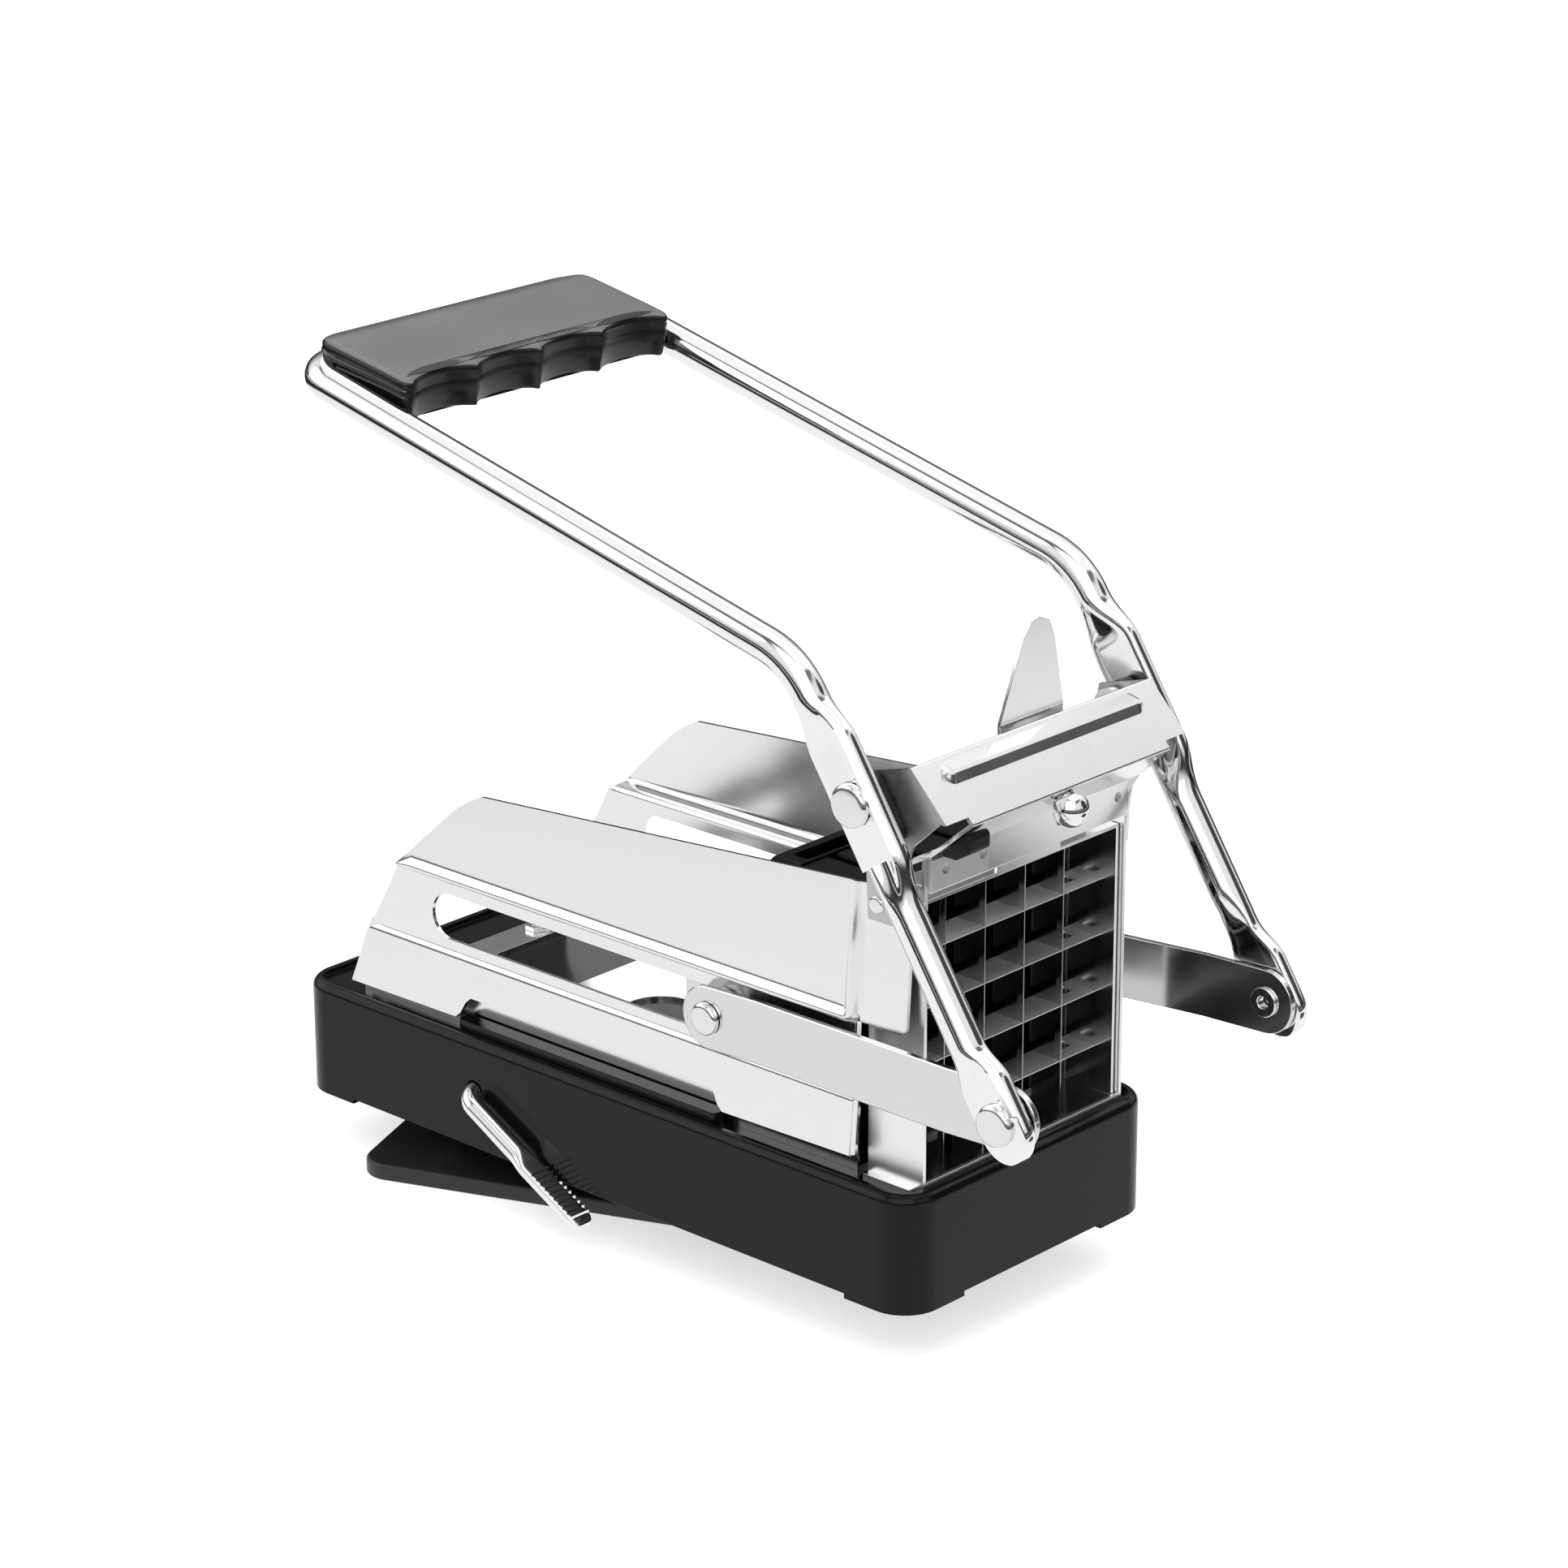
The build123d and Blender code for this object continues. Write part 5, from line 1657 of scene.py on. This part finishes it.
@dataclass
class Grip:
    """Moulded grip with finger scallops, built as level outlines stacked across the handle's arm."""

    bar: tuple = (-104.0, 231.9)
    corner: tuple = (87.9, 186.4)
    half: float = 54.6
    low_half: float = 53.6
    rear: float = -6.6
    front: float = 37.4
    front_draft: float = 1.6
    rear_corner: float = 11.0
    front_corner: float = 3.0
    scallop_pitch: float = 25.6
    scallop_cut: float = 3.8
    scallop_end: tuple = (50.6, 51.6)
    ridges_above: float = 0.62
    levels: tuple = (
        (0.0, 3.0, 0), (0.0, 1.6, 0), (0.03, 0.5, 0), (0.08, 0.0, 0), (0.62, 0.0, 0), (0.64, 0.7, 1),
        (0.68, 0.7, 1), (0.70, 0.0, 1), (0.77, 0.0, 1), (0.79, 0.7, 1), (0.83, 0.7, 1), (0.85, 0.1, 1),
        (0.92, 0.1, 0), (0.97, 0.5, 0), (0.995, 1.2, 0), (1.0, 2.0, 0), (1.0, 3.4, 0),
    )
    painted_sheen_facing: float = 0.75

    def build(self) -> None:
        """Builds the grip and dresses it, the faces of its top in a paler grey finish that is a painted
        sheen.
        """
        along = Vector((self.corner[0] - self.bar[0], 0, self.corner[1] - self.bar[1])).normalized()
        normal = Vector((-along.z, 0, along.x))
        origin = Vector((self.bar[0], 0, self.bar[1]))
        rings = []
        for share, inset, ridge in self.levels:
            ring = []
            for u, y in self._plan(share, inset, ridge):
                low = self._under(u)
                height = low + (self._over(u) - low) * share
                ring.append((origin + along * u + normal * height + Vector((0, y, 0))) * MM)
            rings.append(ring)
        work = bmesh.new()
        rows = [[work.verts.new(point) for point in ring] for ring in rings]
        count = len(rows[0])
        for lower, upper in zip(rows, rows[1:]):
            for index in range(count):
                after = (index + 1) % count
                work.faces.new((lower[index], lower[after], upper[after], upper[index]))
        for row, flip in ((rows[0], True), (rows[-1], False)):
            self._cap(work, row, flip)
        bmesh.ops.recalc_face_normals(work, faces=work.faces)
        mesh = bpy.data.meshes.new("grip")
        work.to_mesh(mesh)
        work.free()
        smooth(mesh, 42)
        obj = link_object("grip_shape", mesh)
        place(obj, "grip", Finish.GRIP_SATIN)
        # Faces turned up get the paler grey: a painted sheen.
        obj.data.materials.append(SHELF.get(Finish.GRIP_PAINTED_SHEEN))
        for face in obj.data.polygons:
            if face.normal.dot(normal) > self.painted_sheen_facing:
                face.material_index = 1

    @staticmethod
    def _cap(work: bmesh.types.BMesh, row: list, flip: bool) -> None:
        """Closes the stack with strips across the grip.

        Args:
            work: Mesh under construction.
            row: The last outline, from the rear edge's near end round to it again.
            flip: True for the underside.
        """
        count = len(row)
        low, high = 0, count - 1
        while high - low > 1:
            corners = [row[low], row[low + 1], row[high - 1], row[high]]
            unique = list(dict.fromkeys(corners))
            if len(unique) > 2:
                work.faces.new(tuple(reversed(unique)) if flip else tuple(unique))
            low += 1
            high -= 1

    def _over(self, u: float) -> float:
        """Height of the top face over the arm's centre line."""
        crown = 8.8 + (10.3 - 8.8) * eased(u, -6, 36)
        return crown - 2.4 * (1 - eased(u, -7.5, 0.5))

    def _under(self, u: float) -> float:
        """Height of the underside."""
        return -7.1 + 4.3 * eased(u, 2.0, 34.0) + 2.6 * (1 - eased(u, -7.5, -1.0))

    def _plan(self, share: float, inset: float, ridge: int) -> list[tuple[float, float]]:
        """Outline of the grip at one level.

        Args:
            share: Height of the level, 0 at the underside and 1 at the top.
            inset: How far the outline is drawn in.
            ridge: 1 where only the ends are drawn in.

        Returns:
            Points along and across the arm, starting at the rear edge.
        """
        side_inset = 0.1 if ridge else inset
        half = (self.low_half if share < self.ridges_above else self.half) - inset
        rear = self.rear + side_inset
        front = self.front - self.front_draft * share - side_inset
        corner = max(1.0, self.rear_corner - inset)
        tip = max(0.6, self.front_corner - inset)
        left = []
        for step in range(13):
            left.append((rear, -(half - corner) * step / 12))
        for step in range(1, 11):
            turn = math.radians(9 * step)
            left.append((rear + corner * (1 - math.cos(turn)), -(half - corner) - corner * math.sin(turn)))
        for step in range(1, 9):
            left.append((rear + corner + (front - tip - rear - corner) * step / 8, -half))
        for step in range(1, 6):
            turn = math.radians(18 * step)
            left.append((front - tip * (1 - math.sin(turn)), -half + tip * (1 - math.cos(turn))))
        flat = half - tip
        for step in range(1, 45):
            left.append((front, -flat + flat * step / 44))
        right = [(u, -y) for u, y in reversed(left[1:-1])]
        points = []
        for u, y in left + right:
            cut = 0.0
            if u > front - 3.5:
                off = (abs(y) % self.scallop_pitch) - self.scallop_pitch / 2
                reach = self.scallop_pitch / 2
                bend = math.sqrt(max(0.0, 1 - (off / reach) ** 2)) if abs(off) < reach else 0.0
                cut = self.scallop_cut * bend ** 1.3 * (1.0 - eased(abs(y), *self.scallop_end))
            points.append((u - cut, y))
        return points


@dataclass
class SuctionFoot:
    """Crank lever, stem and rubber pad of the suction foot."""

    axle: tuple = (-47.0, 20.0)
    rod_plane: float = -58.6
    fall: float = 28.0
    reach: float = 57.0
    radius: float = 3.0
    elbow: float = 6.0
    flat_length: float = 27.0
    flat_half_width: float = 4.0
    flat_half_thick: float = 1.6
    crank_throw: float = 9.6
    web_radius: float = 3.8
    web_sides: tuple = ((6.0, 9.0), (-9.0, -6.0))
    ridge_outline: tuple = ((-0.85, -0.2), (0.85, -0.2), (0.22, 0.95), (-0.22, 0.95))
    ridge_half: float = 3.6
    ridge_pitch: float = 2.05
    ridge_count: int = 10
    points: int = 28

    def build(self) -> None:
        """Builds and dresses the suction foot pieces."""
        self._lever()
        EdgeBreak("suction_stem", Finish.SPACER_BLACK, 0.4).build()
        EdgeBreak("stem_pin", Finish.RIVET_STEEL, 0.2).build()
        EdgeBreak("pad_yoke", Finish.RIVET_STEEL, 0.3).build()
        EdgeBreak("suction_pad", Finish.PAD_RUBBER, 0.6, 3).build()

    def _lever(self) -> None:
        """The axle, elbow, rod and flattened serrated end, with the crank between the bearing cheeks."""
        slope = math.radians(self.fall)
        along = Vector((math.cos(slope), 0, -math.sin(slope)))
        over = Vector((math.sin(slope), 0, math.cos(slope)))
        side = Vector((0, 1, 0))
        start = Vector((self.axle[0], 0, self.axle[1]))
        stations = []
        for y in (-8.0, self.rod_plane + self.elbow + 0.5):
            stations.append(Station(start + side * y, along, over, self._section(0.0)))
        for step in range(13):
            turn = math.radians(90 * step / 12)
            middle = start + side * (self.rod_plane + self.elbow - self.elbow * math.sin(turn))
            middle += along * (self.elbow * (1 - math.cos(turn)))
            across = along * math.cos(turn) + side * math.sin(turn)
            stations.append(Station(middle, across, over, self._section(0.0)))
        origin = start + side * self.rod_plane
        flat_start = self.reach - self.flat_length
        for step in range(13):
            run = flat_start - 5 + 7 * step / 12
            section = self._section(eased(run, flat_start - 5, flat_start + 2))
            stations.append(Station(origin + along * run, side, over, section))
        for step in range(11):
            run = self.reach - 3.5 + 3.5 * math.sin(math.radians(9 * step))
            close = max(0.02, math.cos(math.radians(9 * step)))
            narrow = 0.45 + 0.55 * close
            thin = 0.25 + 0.75 * close
            section = tuple((u * narrow, v * thin) for u, v in self._section(1.0))
            stations.append(Station(origin + along * run, side, over, section))
        parts = [mesh_from_stations("lever_rod", stations)]
        bar = plate("ridge", [list(self.ridge_outline)], -self.ridge_half, self.ridge_half)
        bar.data.transform(Matrix.Rotation(slope, 4, "Y"))
        carrier = link_object("ridges", bpy.data.meshes.new("ridges"))
        first = origin + along * (flat_start + 5.0) + over * (self.flat_half_thick - 0.35)
        RowTree().run(
            carrier,
            {
                "Count": self.ridge_count,
                "Start": tuple(first * MM),
                "Pitch": tuple(along * self.ridge_pitch * MM),
                "Piece": bar,
                "Finish": SHELF.get(Finish.ROD_CHROME),
            },
        )
        bpy.data.objects.remove(bar)
        parts.append(carrier)
        parts += self._crank()
        obj = joined("suction_lever_shape", parts)
        place(obj, "suction_lever", Finish.ROD_CHROME)

    def _section(self, share: float) -> tuple:
        """Section of the lever, round at share 0 and flattened at share 1."""
        points = []
        for index in range(self.points):
            turn = 2 * math.pi * index / self.points
            cosine, sine = math.cos(turn), math.sin(turn)
            flat_u = math.copysign(abs(cosine) ** 0.45, cosine) * self.flat_half_width
            flat_v = math.copysign(abs(sine) ** 0.45, sine) * self.flat_half_thick
            points.append(
                (
                    self.radius * cosine * (1 - share) + flat_u * share,
                    self.radius * sine * (1 - share) + flat_v * share,
                )
            )
        return tuple(points)

    def _crank(self) -> list[bpy.types.Object]:
        """The webs, crank pin and far half of the axle."""
        x, z = self.axle
        reach = self.crank_throw * math.sqrt(0.5)
        parts = []
        web = []
        for step in range(24):
            turn = math.radians(15 * step)
            bump = 1.0 if math.cos(turn + math.radians(45)) > 0 else 0.0
            across = x + reach * bump + self.web_radius * math.cos(turn)
            web.append((across, z - reach * bump + self.web_radius * math.sin(turn)))
        for low, high in self.web_sides:
            parts.append(plate("web", [web], low, high))
        turns = [step * math.pi / 14 for step in range(28)]
        for cx, cz, radius, low, high in (
            (x + reach, z - reach, 2.3, -7.0, 7.0),
            (x, z, 3.0, 6.5, 25.0),
        ):
            circle = [(cx + radius * math.cos(turn), cz + radius * math.sin(turn)) for turn in turns]
            parts.append(plate("pin", [circle], low, high))
        return parts


def main() -> None:
    logging.basicConfig(level=logging.INFO, format="%(message)s")
    SheetBody().build()
    TopBracket().build()
    Fasteners().build()
    BladeCassette().build()
    Pusher().build()
    Handle().build()
    Grip().build()
    SuctionFoot().build()
    Studio().build()


if __name__ == "__main__":
    main()
